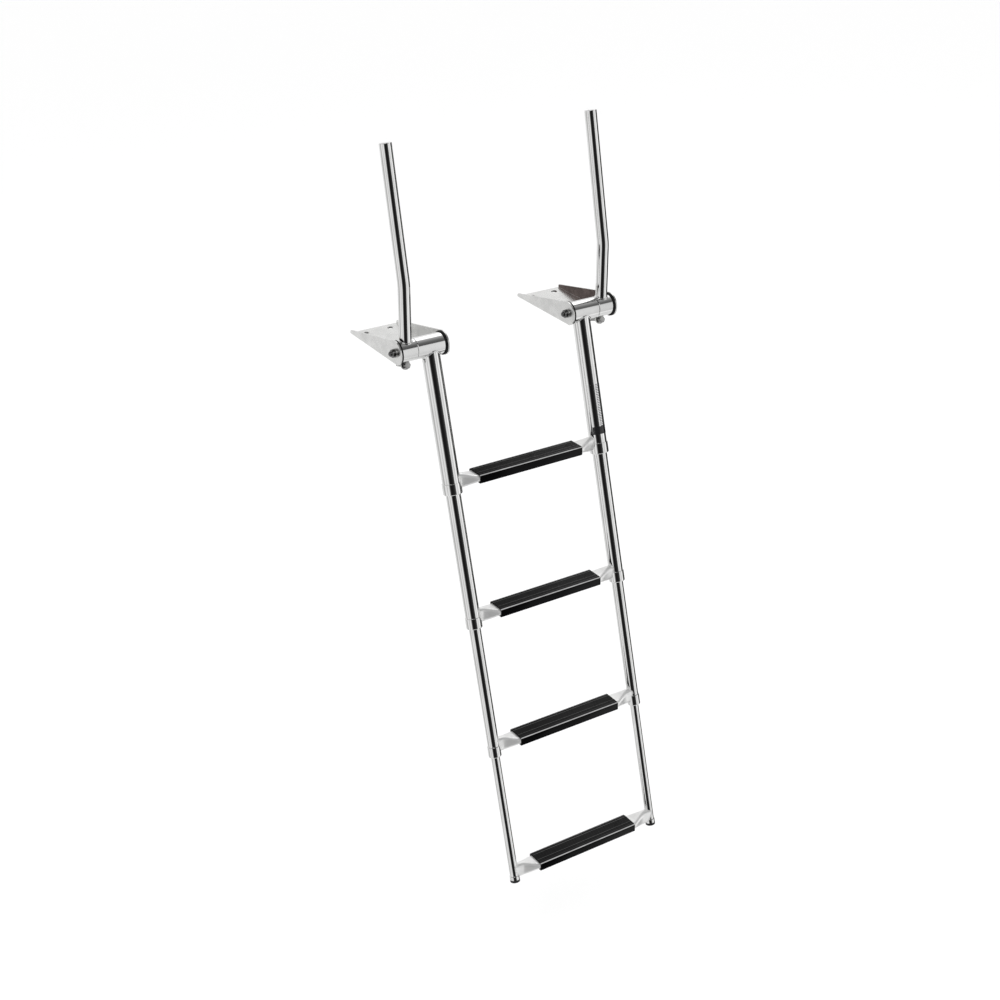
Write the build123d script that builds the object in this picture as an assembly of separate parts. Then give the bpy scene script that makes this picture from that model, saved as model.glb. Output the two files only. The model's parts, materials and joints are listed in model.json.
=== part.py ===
"""Telescopic boarding ladder with two folding handrails on deck brackets.

Units are millimetres. +Z is up, +Y points over the deck and X runs along the
pivot axis. The origin is the centre of the deck bolt pattern, on the underside
of the bracket plates. The ladder is drawn extended, leaning against its stop.
"""

from build123d import *

import os
from math import asin, cos, degrees, radians, sin, tan

# Overall sizes
STILE_SPACING = 367.0    # between the axes of the two stiles
LEAN = 16.3              # degrees from plumb, feet away from the boat
FIRST_REACH = 310.5      # pivot axis to the lower face of the first collar
RUNG_PITCH = 292.0       # from collar to collar when extended
LAST_REACH = 296.0       # third collar to the underside of the feet

# Stiles, from the widest stage to the narrowest
STAGE_OD = [38.1, 31.8, 25.4, 19.05]
TUBE_WALL = 1.5
COLLAR_LENGTH = 24.0
COLLAR_WALL = 1.5        # collar outside the tube that it is welded to
COLLAR_LIP = 4.0         # solid ring below the end of the tube
COLLAR_ROUND = 2.5
LIP_GAP = 0.6            # collar lip to the tube that slides through it
SLIDE_GAP = 0.3          # nylon guide to the tube that slides on it
GUIDE_LENGTH = 20.0
TOP_BUSH_LENGTH = 18.0
STOP_GAP = 0.3           # top bush to guide bush at full reach

# Feet
FOOT_OD = 21.6
FOOT_FERRULE_HEIGHT = 8.5
FOOT_PAD_HEIGHT = 6.0
FOOT_PAD_ROUND = 1.2
FOOT_PLUG_LENGTH = 18.0

# Rungs and their covers
RUNG_RISE = 24.0         # rung axis above the lower face of its collar
RUNG_TILT = 13.5         # degrees between the tread and the stiles' normal
RUNG_WALL = 1.5
RUNG_DEPTH = 41.4        # flattened middle
RUNG_HEIGHT = 15.0
RUNG_END_DEPTH = 18.0    # upright oval where the rung meets the stile
RUNG_END_HEIGHT = 33.0
RUNG_CORNER = 7.2
RUNG_END_FLAT = 0.3      # half of the flat left at the top of the upright oval
RUNG_NECK = 37.0         # length of the change from flat to upright
COVER_LENGTH = 254.0
COVER_WALL = 2.4
COVER_GAP = 0.1
COVER_CORNER = 4.0
COVER_SLOT = 14.0        # open strip along the underside
RIB_COUNT = 9
RIB_PITCH = 3.9
RIB_WIDTH = 1.7
RIB_HEIGHT = 0.9
BEAD_RADIUS = 1.5

# Pivot barrels
PIVOT_HEIGHT = 25.5      # above the underside of the plates
BARREL_OD = 44.5
BARREL_WALL = 2.5
SLEEVE_LENGTH = 62.0     # ladder's part of the barrel
SLEEVE_SHIFT = 4.5       # sleeve's middle outside the stile's axis
HUB_LENGTH = 35.5        # handrail's part of the barrel
SEAM = 0.6               # between sleeve and hub
FLANGE_THICKNESS = 3.5   # nylon flange against the bracket cheek
FLANGE_OD = 50.0
FLANGE_GAP = 0.2
BUSH_LENGTH = 16.0
BOLT_DIAMETER = 10.0
BOLT_GAP = 0.08          # radial, bolt to bush
BOLT_HOLE_GAP = 0.25     # radial, bolt to cheek
BOLT_HEX = 17.0
BOLT_HEAD_HEIGHT = 6.4
NUT_HEIGHT = 6.5
NUT_PAST_BOLT = 1.0      # nut's flats beyond the end of the bolt's shank
DOME_RADIUS = 6.3
DOME_ROOT = 1.0          # dome sunk into the nut's flats
THREAD_RUNOUT = 2.0      # nut's bore beyond its flats
HEX_CROWN = 0.3          # crown circle outside the flats
HEX_CHAMFER = 1.2
WASHER_OD = 19.0
WASHER_THICKNESS = 1.5

# Deck brackets
PLATE = 3.0
BRACKET_REAR = 194.0     # behind the pivot axis
CHEEK_REAR_HEIGHT = 9.0
CHEEK_REAR_ROUND = 4.0
PLATE_STOP_GAP = 0.4     # stile to the plate's front edge
BEND_RADIUS = 3.5
DECK_HOLE = 8.5
DECK_SINK = 13.5         # countersink diameter
BOLT_SPACING_X = 57.0    # across one plate
BOLT_SPACING_Y = 110.0
BOLT_MIDDLE_Y = 120.0    # middle of the holes behind the pivot axis

# Handrails
RAIL_OD = 25.4
RAIL_WALL = 1.5
RAIL_LOWER = 138.5       # pivot axis to the bend
RAIL_UPPER = 271.0       # bend to the top
RAIL_LEAN = 12.4         # degrees over the deck, above the bend
RAIL_BEND_RADIUS = 90.0
RAIL_PLUG_LENGTH = 14.0
RAIL_PLUG_HEAD = 2.2

# Stop screws under the handrail hubs
SCREW_DIAMETER = 8.0
SCREW_SLOPE = 17.0       # degrees, tip down over the deck edge
SCREW_DROP = 31.5        # screw axis straight below the pivot axis
SCREW_TIP = 38.5         # tip from the foot of that drop
SCREW_HEX = 13.0
SCREW_HEAD_HEIGHT = 5.3
SCREW_GAP = 0.05
SCREW_CHAMFER = 1.0
SCREW_HEAD_CLEAR = 4.0   # head to lug
LUG_THICKNESS = 4.0
LUG_WIDTH = 19.0
LOCKNUT_HEIGHT = 6.5

# Film label on the outboard side of the right stile
LABEL_LENGTH = 92.0
LABEL_BAND = 17.0        # dark lower end of the label
LABEL_CLEAR = 3.0        # above the first rung's weld
LABEL_HALF_WRAP = 56.0   # degrees each side of the outboard face
LABEL_THICKNESS = 0.3

# Positions that follow from the sizes above
STILE_X = STILE_SPACING / 2
PIVOT_Y = -BOLT_MIDDLE_Y
COLLAR_Z = [-(FIRST_REACH + i * RUNG_PITCH) for i in range(3)]
FOOT_Z = COLLAR_Z[-1] - LAST_REACH
SLEEVE_IN = STILE_X + SLEEVE_SHIFT - SLEEVE_LENGTH / 2
SLEEVE_OUT = SLEEVE_IN + SLEEVE_LENGTH
HUB_IN = SLEEVE_OUT + SEAM
HUB_OUT = HUB_IN + HUB_LENGTH
CHEEK_IN = SLEEVE_IN - FLANGE_THICKNESS - FLANGE_GAP
CHEEK_OUT = HUB_OUT + FLANGE_THICKNESS + FLANGE_GAP
CHEEK_RADIUS = PIVOT_HEIGHT   # the round front runs into the foot
BRACKET_X = (CHEEK_IN + CHEEK_OUT) / 2
RAIL_X = (HUB_IN + HUB_OUT) / 2
BARREL_BORE = BARREL_OD - 2 * BARREL_WALL
LEAN_RAD = radians(LEAN)
LADDER = Plane((0, PIVOT_Y, PIVOT_HEIGHT), (1, 0, 0), (0, sin(LEAN_RAD), cos(LEAN_RAD)))
SLOPE_RAD = radians(SCREW_SLOPE)
SCREW = Plane(
    (RAIL_X, PIVOT_Y, PIVOT_HEIGHT - SCREW_DROP),
    (1, 0, 0),
    (0, -cos(SLOPE_RAD), sin(SLOPE_RAD)),
)
BASE = (Align.CENTER, Align.CENTER, Align.MIN)
FACING_X = Plane.YZ


def ring(outer, inner, low, high):
    """Ring about Z between two heights, given its radii."""
    height = high - low
    body = Cylinder(outer, height, align=BASE) - Cylinder(inner, height, align=BASE)
    return Pos(0, 0, low) * body


def rod(radius, low, high):
    """Solid cylinder about Z between two heights."""
    return Pos(0, 0, low) * Cylinder(radius, high - low, align=BASE)


def on_pivot(shape):
    """Turn a shape drawn along Z so that it lies on the pivot axis."""
    return Pos(0, PIVOT_Y, PIVOT_HEIGHT) * Rot(0, 90, 0) * shape


def on_ladder(shape):
    """Place a shape drawn with Z up the stiles and its origin at the pivot."""
    return LADDER.location * shape


def on_stile(shape):
    """Place a shape drawn about Z on the right stile's axis."""
    return on_ladder(Pos(STILE_X, 0, 0) * shape)


def mirrored(shape):
    """The left-hand copy of a right-hand shape."""
    return mirror(shape, about=Plane.YZ)


def hexagon(across_flats):
    """Regular hexagon with two flats level."""
    return RegularPolygon(across_flats / 2, 6, major_radius=False)


def save(name, *shapes):
    """Write one node, as one solid or as a group of separate solids."""
    shape = shapes[0] if len(shapes) == 1 else Compound(list(shapes))
    export_step(shape, f"parts/{name}.step")


def save_pair(name, shape):
    """Write the right-hand piece and its mirror image."""
    save(f"right_{name}", shape)
    save(f"left_{name}", mirrored(shape))


# Deck brackets


def plate_front():
    """Plate's front edge, in front of which the leaning stile comes to rest."""
    drop = PIVOT_HEIGHT - PLATE
    stile_back = STAGE_OD[0] / 2 / cos(LEAN_RAD) - drop * tan(LEAN_RAD)
    return PIVOT_Y + stile_back + PLATE_STOP_GAP


def cheek_outline():
    """Side view of a cheek: straight foot, low rounded tail, round front."""
    tail = PIVOT_Y + BRACKET_REAR
    rise = PIVOT_HEIGHT - CHEEK_REAR_HEIGHT
    distance = (BRACKET_REAR**2 + rise**2) ** 0.5
    slope = degrees(asin(CHEEK_RADIUS / distance) - asin(rise / distance))
    top_y = PIVOT_Y + CHEEK_RADIUS * sin(radians(slope))
    top_z = PIVOT_HEIGHT + CHEEK_RADIUS * cos(radians(slope))
    sloped = Polygon(
        (PIVOT_Y, 0), (tail, 0), (tail, CHEEK_REAR_HEIGHT), (top_y, top_z),
        (PIVOT_Y, PIVOT_HEIGHT), align=None,
    )
    front = Pos(PIVOT_Y, PIVOT_HEIGHT) * Circle(CHEEK_RADIUS)
    tail_corner = sloped.vertices().sort_by(Axis.X)[-2:].sort_by(Axis.Y)[-1]
    return fillet(tail_corner, CHEEK_REAR_ROUND) + front


def cheek(outer_face, inward):
    """One upstanding cheek, from its outer face inwards, with its bolt hole."""
    face = FACING_X.offset(outer_face) * cheek_outline()
    side = extrude(face, PLATE * inward)
    hole = rod(BOLT_DIAMETER / 2 + BOLT_HOLE_GAP, CHEEK_IN - PLATE, CHEEK_OUT + PLATE)
    return side - on_pivot(hole)


def bend_envelope(width):
    """Block whose rounded lower corners give the outside of the plate's bends."""
    height = 3 * PIVOT_HEIGHT
    section = Plane.XZ * Pos(BRACKET_X, height / 2) * RectangleRounded(width, height, BEND_RADIUS)
    return extrude(section, 2 * BRACKET_REAR, both=True)


def deck_holes():
    """Countersunk holes for the four deck bolts of the right bracket."""
    depth = (DECK_SINK - DECK_HOLE) / 2
    sink = Pos(0, 0, PLATE - depth) * Cone(DECK_HOLE / 2, DECK_SINK / 2, depth, align=BASE)
    tool = Pos(0, 0, -PLATE) * Cylinder(DECK_HOLE / 2, 3 * PLATE, align=BASE) + sink
    spots = GridLocations(BOLT_SPACING_X, BOLT_SPACING_Y, 2, 2)
    return [Pos(BRACKET_X, 0, 0) * spot * tool for spot in spots]


def bracket():
    """Right bracket: one bent plate with two cheeks."""
    front = plate_front()
    rear = PIVOT_Y + BRACKET_REAR
    width = CHEEK_OUT - CHEEK_IN + 2 * PLATE
    floor = Pos(BRACKET_X, (front + rear) / 2, 0) * Box(width, rear - front, PLATE, align=BASE)
    body = floor + cheek(CHEEK_IN - PLATE, 1) + cheek(CHEEK_OUT + PLATE, -1)
    body &= bend_envelope(width)
    for hole in deck_holes():
        body -= hole
    return body


# Pivot hardware


def pivot_bolt():
    """Right pivot bolt, its hexagon head outboard."""
    head_at = CHEEK_OUT + PLATE + WASHER_THICKNESS
    end_at = CHEEK_IN - PLATE - WASHER_THICKNESS - NUT_HEIGHT + NUT_PAST_BOLT
    shank = rod(BOLT_DIAMETER / 2, end_at, head_at)
    head = extrude(Pos(0, 0, head_at) * hexagon(BOLT_HEX), BOLT_HEAD_HEIGHT)
    crown = rod(BOLT_HEX / 2 + HEX_CROWN, head_at, head_at + BOLT_HEAD_HEIGHT)
    crown = chamfer(crown.edges().group_by(Axis.Z)[-1], HEX_CHAMFER)
    return on_pivot(shank + (head & crown))


def pivot_nut():
    """Right acorn nut, on the inboard end of the bolt."""
    face = CHEEK_IN - PLATE - WASHER_THICKNESS
    body = extrude(Pos(0, 0, face - NUT_HEIGHT) * hexagon(BOLT_HEX), NUT_HEIGHT)
    crown = rod(BOLT_HEX / 2 + HEX_CROWN, face - NUT_HEIGHT, face)
    crown = chamfer(crown.edges().group_by(Axis.Z)[0], HEX_CHAMFER)
    dome = Pos(0, 0, face - NUT_HEIGHT) * Sphere(DOME_RADIUS)
    dome -= Pos(0, 0, face - NUT_HEIGHT + DOME_ROOT) * Cylinder(BOLT_HEX, 2 * BOLT_HEX, align=BASE)
    thread = rod(BOLT_DIAMETER / 2 + BOLT_GAP, face - NUT_HEIGHT - THREAD_RUNOUT, face)
    return on_pivot((body & crown) + dome - thread)


def pivot_washer(face):
    """Washer that starts at the given place on the pivot axis."""
    bore = BOLT_DIAMETER / 2 + BOLT_HOLE_GAP
    return on_pivot(ring(WASHER_OD / 2, bore, face, face + WASHER_THICKNESS))


def save_pivots():
    """Write bolts, nuts and washers; both nuts face the same way."""
    to_left = Pos(-(CHEEK_IN + CHEEK_OUT), 0, 0)
    washers = [
        pivot_washer(CHEEK_IN - PLATE - WASHER_THICKNESS),
        pivot_washer(CHEEK_OUT + PLATE),
    ]
    save("pivot_bolts", pivot_bolt(), to_left * pivot_bolt())
    save("pivot_nuts", pivot_nut(), to_left * pivot_nut())
    save("pivot_washers", *washers, *[to_left * washer for washer in washers])


def barrel(low, high):
    """Plain barrel between two places on the pivot axis."""
    return on_pivot(ring(BARREL_OD / 2, BARREL_BORE / 2, low, high))


def barrel_solid(low, high):
    """What the barrel fills, used to cope the tubes welded to it."""
    return on_pivot(rod(BARREL_OD / 2, low, high))


def nylon_bush(low, high, flange=None):
    """Nylon bush inside a barrel, with a flange between two places if given."""
    bore = BOLT_DIAMETER / 2 + BOLT_GAP
    bush = ring(BARREL_BORE / 2, bore, low, high)
    if flange:
        bush += ring(FLANGE_OD / 2, bore, flange[0], flange[1])
    return on_pivot(bush)


# Stiles


def tube_ends(stage):
    """Lower and upper end of a stage's tube, measured up the stile."""
    if stage == 0:
        return COLLAR_Z[0] + COLLAR_LIP, 0
    overlap = COLLAR_LIP + GUIDE_LENGTH + STOP_GAP + TOP_BUSH_LENGTH
    high = COLLAR_Z[stage - 1] + overlap
    low = COLLAR_Z[stage] + COLLAR_LIP if stage < 3 else FOOT_Z + FOOT_PAD_HEIGHT
    return low, high


def stile_tube(stage):
    """Right tube of a stage; the first is coped to the barrel."""
    outer = STAGE_OD[stage] / 2
    low, high = tube_ends(stage)
    tube = on_stile(ring(outer, outer - TUBE_WALL, low, high))
    return tube - barrel_solid(SLEEVE_IN, SLEEVE_OUT) if stage == 0 else tube


def collar(stage):
    """Right collar at the lower end of a stage."""
    outer = STAGE_OD[stage] / 2 + COLLAR_WALL
    low = COLLAR_Z[stage]
    slide = STAGE_OD[stage + 1] / 2 + LIP_GAP
    sleeve = ring(outer, STAGE_OD[stage] / 2, low + COLLAR_LIP, low + COLLAR_LENGTH)
    body = sleeve + ring(outer, slide, low, low + COLLAR_LIP)
    bottom = body.edges().filter_by(GeomType.CIRCLE).group_by(Axis.Z)[0].sort_by(SortBy.RADIUS)[-1]
    body = fillet(bottom, COLLAR_ROUND)
    top = body.edges().filter_by(GeomType.CIRCLE).group_by(Axis.Z)[-1].sort_by(SortBy.RADIUS)[-1]
    return on_stile(chamfer(top, COLLAR_WALL / 3))


def guide_bush(stage):
    """Right nylon guide inside the lower end of a stage."""
    low = COLLAR_Z[stage] + COLLAR_LIP
    outer = STAGE_OD[stage] / 2 - TUBE_WALL
    inner = STAGE_OD[stage + 1] / 2 + SLIDE_GAP
    return on_stile(ring(outer, inner, low, low + GUIDE_LENGTH))


def top_bush(stage):
    """Right nylon ring round the top of a sliding tube."""
    high = tube_ends(stage)[1]
    outer = STAGE_OD[stage - 1] / 2 - TUBE_WALL - SLIDE_GAP
    return on_stile(ring(outer, STAGE_OD[stage] / 2, high - TOP_BUSH_LENGTH, high))


def foot_ferrule():
    """Right steel ring round the foot of the last tube."""
    low = FOOT_Z + FOOT_PAD_HEIGHT
    body = ring(FOOT_OD / 2, STAGE_OD[3] / 2, low, low + FOOT_FERRULE_HEIGHT)
    top = body.edges().group_by(Axis.Z)[-1].sort_by(SortBy.RADIUS)[-1]
    return on_stile(chamfer(top, (FOOT_OD - STAGE_OD[3]) / 4))


def foot_plug():
    """Right plastic foot: a pad with a plug up inside the tube."""
    pad = rod(FOOT_OD / 2, FOOT_Z, FOOT_Z + FOOT_PAD_HEIGHT)
    pad = fillet(pad.edges().group_by(Axis.Z)[0], FOOT_PAD_ROUND)
    bore = STAGE_OD[3] / 2 - TUBE_WALL
    return on_stile(pad + rod(bore, FOOT_Z + FOOT_PAD_HEIGHT, FOOT_Z + FOOT_PLUG_LENGTH))


# Rungs


def rung_height(stage):
    """Height of a rung's axis, measured up the stile."""
    return (COLLAR_Z[stage] if stage < 3 else FOOT_Z) + RUNG_RISE


def on_rung(stage, shape):
    """Place a shape drawn along X with the tread facing +Z."""
    return on_ladder(Pos(0, 0, rung_height(stage)) * Rot(RUNG_TILT, 0, 0) * shape)


def oval(at, depth, height, corner, inset=0):
    """Rounded section of a rung at a place along X, shrunk by an inset."""
    sketch = RectangleRounded(depth - 2 * inset, height - 2 * inset, corner - inset)
    return FACING_X.offset(at) * sketch


def rung_shape(inset):
    """Outside of a rung, or its hollow when an inset is given."""
    flat_end = COVER_LENGTH / 2
    neck_end = flat_end + RUNG_NECK
    middle = (RUNG_DEPTH, RUNG_HEIGHT, RUNG_CORNER, inset)
    end = (RUNG_END_DEPTH, RUNG_END_HEIGHT, RUNG_END_DEPTH / 2 - RUNG_END_FLAT, inset)
    neck = loft([oval(flat_end, *middle), oval(neck_end, *end)], ruled=True)
    stub = extrude(oval(neck_end, *end), STILE_X - neck_end)
    side = neck + stub
    return extrude(oval(-flat_end, *middle), 2 * flat_end) + side + mirrored(side)


def rung(stage):
    """Hollow rung, coped to the stile tubes and collars of its stage."""
    body = on_rung(stage, rung_shape(0) - rung_shape(RUNG_WALL))
    low, high = tube_ends(stage)
    cutter = rod(STAGE_OD[stage] / 2, low, high)
    if stage < 3:
        top = COLLAR_Z[stage] + COLLAR_LENGTH
        cutter += rod(STAGE_OD[stage] / 2 + COLLAR_WALL, COLLAR_Z[stage], top)
    else:
        cutter += rod(FOOT_OD / 2, FOOT_Z, low + FOOT_FERRULE_HEIGHT)
    cutter = on_stile(cutter)
    return body - cutter - mirrored(cutter)


def rung_cover(stage):
    """Ribbed plastic cover clipped over the flat of a rung."""
    start = -COVER_LENGTH / 2
    grow = COVER_GAP + COVER_WALL
    depth = RUNG_DEPTH + 2 * grow
    height = RUNG_HEIGHT + 2 * grow
    outer = extrude(oval(start, depth, height, COVER_CORNER), COVER_LENGTH)
    inner = extrude(oval(start, RUNG_DEPTH, RUNG_HEIGHT, RUNG_CORNER, -COVER_GAP), COVER_LENGTH)
    slot = Pos(0, 0, -height) * Box(COVER_LENGTH, COVER_SLOT, height, align=BASE)
    body = outer - inner - slot
    for i in range(RIB_COUNT):
        y = (i - (RIB_COUNT - 1) / 2) * RIB_PITCH
        body += Pos(0, y, height / 2) * Box(COVER_LENGTH, RIB_WIDTH, 2 * RIB_HEIGHT)
    bead_y = depth / 2 - COVER_CORNER + BEAD_RADIUS / 2
    bead_z = height / 2 - BEAD_RADIUS / 2
    for side in (-1, 1):
        bead = Cylinder(BEAD_RADIUS, COVER_LENGTH)
        body += Pos(0, side * bead_y, bead_z) * Rot(0, 90, 0) * bead
    return on_rung(stage, body)


# Handrails


def rail_path():
    """Centre line of the right handrail, from the pivot axis to its top."""
    bend = Vector(RAIL_X, PIVOT_Y, PIVOT_HEIGHT + RAIL_LOWER)
    tip = bend + Vector(0, sin(radians(RAIL_LEAN)), cos(radians(RAIL_LEAN))) * RAIL_UPPER
    return FilletPolyline((RAIL_X, PIVOT_Y, PIVOT_HEIGHT), bend, tip, radius=RAIL_BEND_RADIUS)


def rail_tube():
    """Right handrail tube, coped to its hub."""
    path = rail_path()
    start = Plane(origin=path @ 0, z_dir=path % 0)
    outer = sweep(start * Circle(RAIL_OD / 2), path=path)
    inner = sweep(start * Circle(RAIL_OD / 2 - RAIL_WALL), path=path)
    return outer - inner - barrel_solid(HUB_IN, HUB_OUT)


def rail_plug():
    """Right end plug, its rounded head on the rim of the handrail."""
    path = rail_path()
    top = Plane(origin=path @ 1, z_dir=path % 1)
    plug = rod(RAIL_OD / 2 - RAIL_WALL, -RAIL_PLUG_LENGTH, 0)
    head = rod(RAIL_OD / 2, 0, RAIL_PLUG_HEAD)
    head = fillet(head.edges().group_by(Axis.Z)[-1], RAIL_PLUG_HEAD / 2)
    return top.location * (plug + head)


# Stop screws


def stop_lug():
    """Right lug, welded under the hub and drilled for the stop screw."""
    half = LUG_WIDTH / 2
    flat = Pos(0, SCREW_DROP / 2) * Rectangle(LUG_WIDTH, SCREW_DROP) + Circle(half)
    flat -= Circle(SCREW_DIAMETER / 2 + SCREW_GAP)
    blank = extrude(Pos(0, 0, lug_face() - LUG_THICKNESS) * flat, LUG_THICKNESS)
    return SCREW.location * blank - barrel_solid(HUB_IN, HUB_OUT)


def lug_face():
    """Outboard face of the lug along the screw."""
    return -SCREW_HEAD_CLEAR / 2


def stop_screw():
    """Right stop screw, its hexagon head outboard."""
    seat = lug_face() + SCREW_HEAD_CLEAR
    shank = rod(SCREW_DIAMETER / 2, -SCREW_TIP, seat)
    shank = chamfer(shank.edges().group_by(Axis.Z)[0], SCREW_CHAMFER)
    head = extrude(Pos(0, 0, seat) * hexagon(SCREW_HEX), SCREW_HEAD_HEIGHT)
    return SCREW.location * (shank + head)


def stop_locknut():
    """Right locknut, against the deck side of the lug."""
    low = lug_face() - LUG_THICKNESS - LOCKNUT_HEIGHT
    flat = hexagon(SCREW_HEX) - Circle(SCREW_DIAMETER / 2 + SCREW_GAP)
    return SCREW.location * extrude(Pos(0, 0, low) * flat, LOCKNUT_HEIGHT)


# Label


def label_film(above, length):
    """Strip of film on the right upper stile, a given way above its lower end."""
    radius = STAGE_OD[0] / 2
    low = rung_height(0) + RUNG_END_HEIGHT / 2 + LABEL_CLEAR + above
    film = ring(radius + LABEL_THICKNESS, radius, low, low + length)
    chord = radius * cos(radians(LABEL_HALF_WRAP))
    front = Pos(0, -chord - radius, low) * Box(4 * radius, 2 * radius, length, align=BASE)
    return on_stile(film & front)


def save_brackets():
    """Write both brackets and the pivot hardware."""
    save_pair("bracket", bracket())
    save_pivots()


def save_barrels():
    """Write the ladder sleeves, the handrail hubs and their nylon bushes."""
    sleeve_flange = (CHEEK_IN + FLANGE_GAP, SLEEVE_IN)
    hub_flange = (HUB_OUT, CHEEK_OUT - FLANGE_GAP)
    sleeve_bushes = [
        nylon_bush(SLEEVE_IN, SLEEVE_IN + BUSH_LENGTH, sleeve_flange),
        nylon_bush(SLEEVE_OUT - BUSH_LENGTH, SLEEVE_OUT),
    ]
    hub_bush = nylon_bush(HUB_IN, HUB_OUT, hub_flange)
    save_pair("sleeve", barrel(SLEEVE_IN, SLEEVE_OUT))
    save("sleeve_bushes", *sleeve_bushes, *[mirrored(bush) for bush in sleeve_bushes])
    save_pair("handrail_hub", barrel(HUB_IN, HUB_OUT))
    save_pair("handrail_bush", hub_bush)


def save_stage(stage):
    """Write one telescoping stage of the ladder."""
    number = stage + 1
    save_pair(f"stile_{number}", stile_tube(stage))
    if stage > 0:
        bush = top_bush(stage)
        save(f"top_bushes_{number}", bush, mirrored(bush))
    if stage < 3:
        guide = guide_bush(stage)
        save_pair(f"collar_{number}", collar(stage))
        save(f"guide_bushes_{number}", guide, mirrored(guide))
    else:
        save_pair("foot_ferrule", foot_ferrule())
        save_pair("foot_plug", foot_plug())
    save(f"rung_{number}", rung(stage))
    save(f"rung_cover_{number}", rung_cover(stage))


def save_handrails():
    """Write the handrails with their plugs, lugs and stop screws."""
    save_pair("handrail", rail_tube())
    save_pair("handrail_plug", rail_plug())
    save_pair("stop_lug", stop_lug())
    save_pair("stop_locknut", stop_locknut())
    save_pair("stop_screw", stop_screw())


os.makedirs("parts", exist_ok=True)
save_brackets()
save_barrels()
for stage_index in range(len(STAGE_OD)):
    save_stage(stage_index)
save_handrails()
save("stile_label", label_film(LABEL_BAND, LABEL_LENGTH))
save("stile_label_band", label_film(0, LABEL_BAND))
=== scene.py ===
"""Studio scene of a telescopic boarding ladder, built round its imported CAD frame.

Everything is in metres in the frame of the CAD model: +Z up, +Y over the deck,
X along the pivot axis. Tubes, collars, bushes, brackets and pivot fasteners are
the CAD nodes with a finish put on. Rungs, covers, barrels, welds, stop screws
and locknuts are meshes made here.
"""

import json
import logging
import math
from dataclasses import dataclass
from enum import Enum
from typing import Callable, Iterable, Optional, Sequence

import bmesh
import bpy
from mathutils import Matrix, Vector


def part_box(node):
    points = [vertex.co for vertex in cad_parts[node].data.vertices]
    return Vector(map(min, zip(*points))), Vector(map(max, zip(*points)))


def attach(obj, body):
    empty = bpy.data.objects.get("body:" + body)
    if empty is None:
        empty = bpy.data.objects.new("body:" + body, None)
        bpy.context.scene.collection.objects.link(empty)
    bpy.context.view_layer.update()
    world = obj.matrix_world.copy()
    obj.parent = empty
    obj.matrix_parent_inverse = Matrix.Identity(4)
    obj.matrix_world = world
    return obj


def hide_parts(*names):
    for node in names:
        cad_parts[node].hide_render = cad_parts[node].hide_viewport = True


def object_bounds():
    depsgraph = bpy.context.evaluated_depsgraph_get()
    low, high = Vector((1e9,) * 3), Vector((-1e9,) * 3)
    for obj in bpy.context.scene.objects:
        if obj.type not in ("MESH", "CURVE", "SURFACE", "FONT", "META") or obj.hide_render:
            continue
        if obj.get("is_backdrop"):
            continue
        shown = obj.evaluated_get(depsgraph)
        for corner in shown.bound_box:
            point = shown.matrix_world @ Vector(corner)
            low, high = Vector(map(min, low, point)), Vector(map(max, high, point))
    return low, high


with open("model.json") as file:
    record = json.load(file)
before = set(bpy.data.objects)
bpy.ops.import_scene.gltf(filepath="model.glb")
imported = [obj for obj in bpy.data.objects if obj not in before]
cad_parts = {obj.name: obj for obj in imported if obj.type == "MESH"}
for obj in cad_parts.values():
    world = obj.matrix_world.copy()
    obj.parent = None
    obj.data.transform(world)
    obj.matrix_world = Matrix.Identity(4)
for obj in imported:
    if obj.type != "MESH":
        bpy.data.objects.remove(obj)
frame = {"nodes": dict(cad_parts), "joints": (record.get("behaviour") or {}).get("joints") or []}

LOG = logging.getLogger("boarding_ladder")
MM = 0.001
# Point attribute holding the share of the pale painted highlight along the covers' beads and ribs.
HIGHLIGHT_ATTRIBUTE = "rubbed_crest"
ARC_STEPS = 8
STAGES = 4
X_AXIS = Vector((1, 0, 0))
Z_AXIS = Vector((0, 0, 1))
Loop = list[Vector]
Rgb = tuple[float, float, float]
Outline = list[tuple[float, float]]
Profile = tuple[tuple[float, float, bool], ...]


class Side(Enum):
    """The two sides of the ladder, with the sign of X on each."""

    LEFT = -1
    RIGHT = 1

    @property
    def word(self) -> str:
        """The word that starts the names of the pieces on this side."""
        return self.name.lower()


class Lay(Enum):
    """The direction that polishing lines follow on a piece."""

    STILE = "stile"
    PIVOT = "pivot"
    PLUMB = "plumb"
    RUNG = "rung"


@dataclass(frozen=True)
class Layout:
    """Axes and places that every sub-assembly shares, read from the CAD frame.

    Attributes:
        pivot: Middle of the pivot axis.
        up: Unit vector up the stiles.
        stile_x: Distance of a stile's axis from the middle plane.
        barrel_radius: Outside radius of the pivot barrels.
    """

    pivot: Vector
    up: Vector
    stile_x: float
    barrel_radius: float

    @classmethod
    def from_frame(cls) -> "Layout":
        """Read the layout from the joints and node boxes.

        Returns:
            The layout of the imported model.
        """
        joints = {joint["name"]: joint for joint in frame["joints"]}
        pivot = Vector(joints["ladder_swing"]["pos_m"])
        down = Vector(joints["section_2_slide"]["axis"]).normalized()
        low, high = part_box("right_stile_1")
        barrel_low, barrel_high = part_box("right_sleeve")
        return cls(pivot, -down, (low.x + high.x) / 2, (barrel_high.z - barrel_low.z) / 2)

    @property
    def lean(self) -> float:
        """Angle of the stiles from plumb, in radians."""
        return math.atan2(self.up.y, self.up.z)

    def stile_radius(self, stage: int) -> float:
        """Outside radius of a stage's tube, from the width of its node."""
        low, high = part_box(f"right_stile_{stage}")
        return (high.x - low.x) / 2

    def ladder_matrix(self, side: Side) -> Matrix:
        """Axes of a stile: Z up the stile, Y towards the boat, origin at the pivot axis.

        Args:
            side: Which stile.

        Returns:
            The matrix from the stile's own axes to the CAD frame.
        """
        origin = self.pivot + Vector((side.value * self.stile_x, 0, 0))
        return axes_matrix(origin, X_AXIS, self.up)


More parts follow.
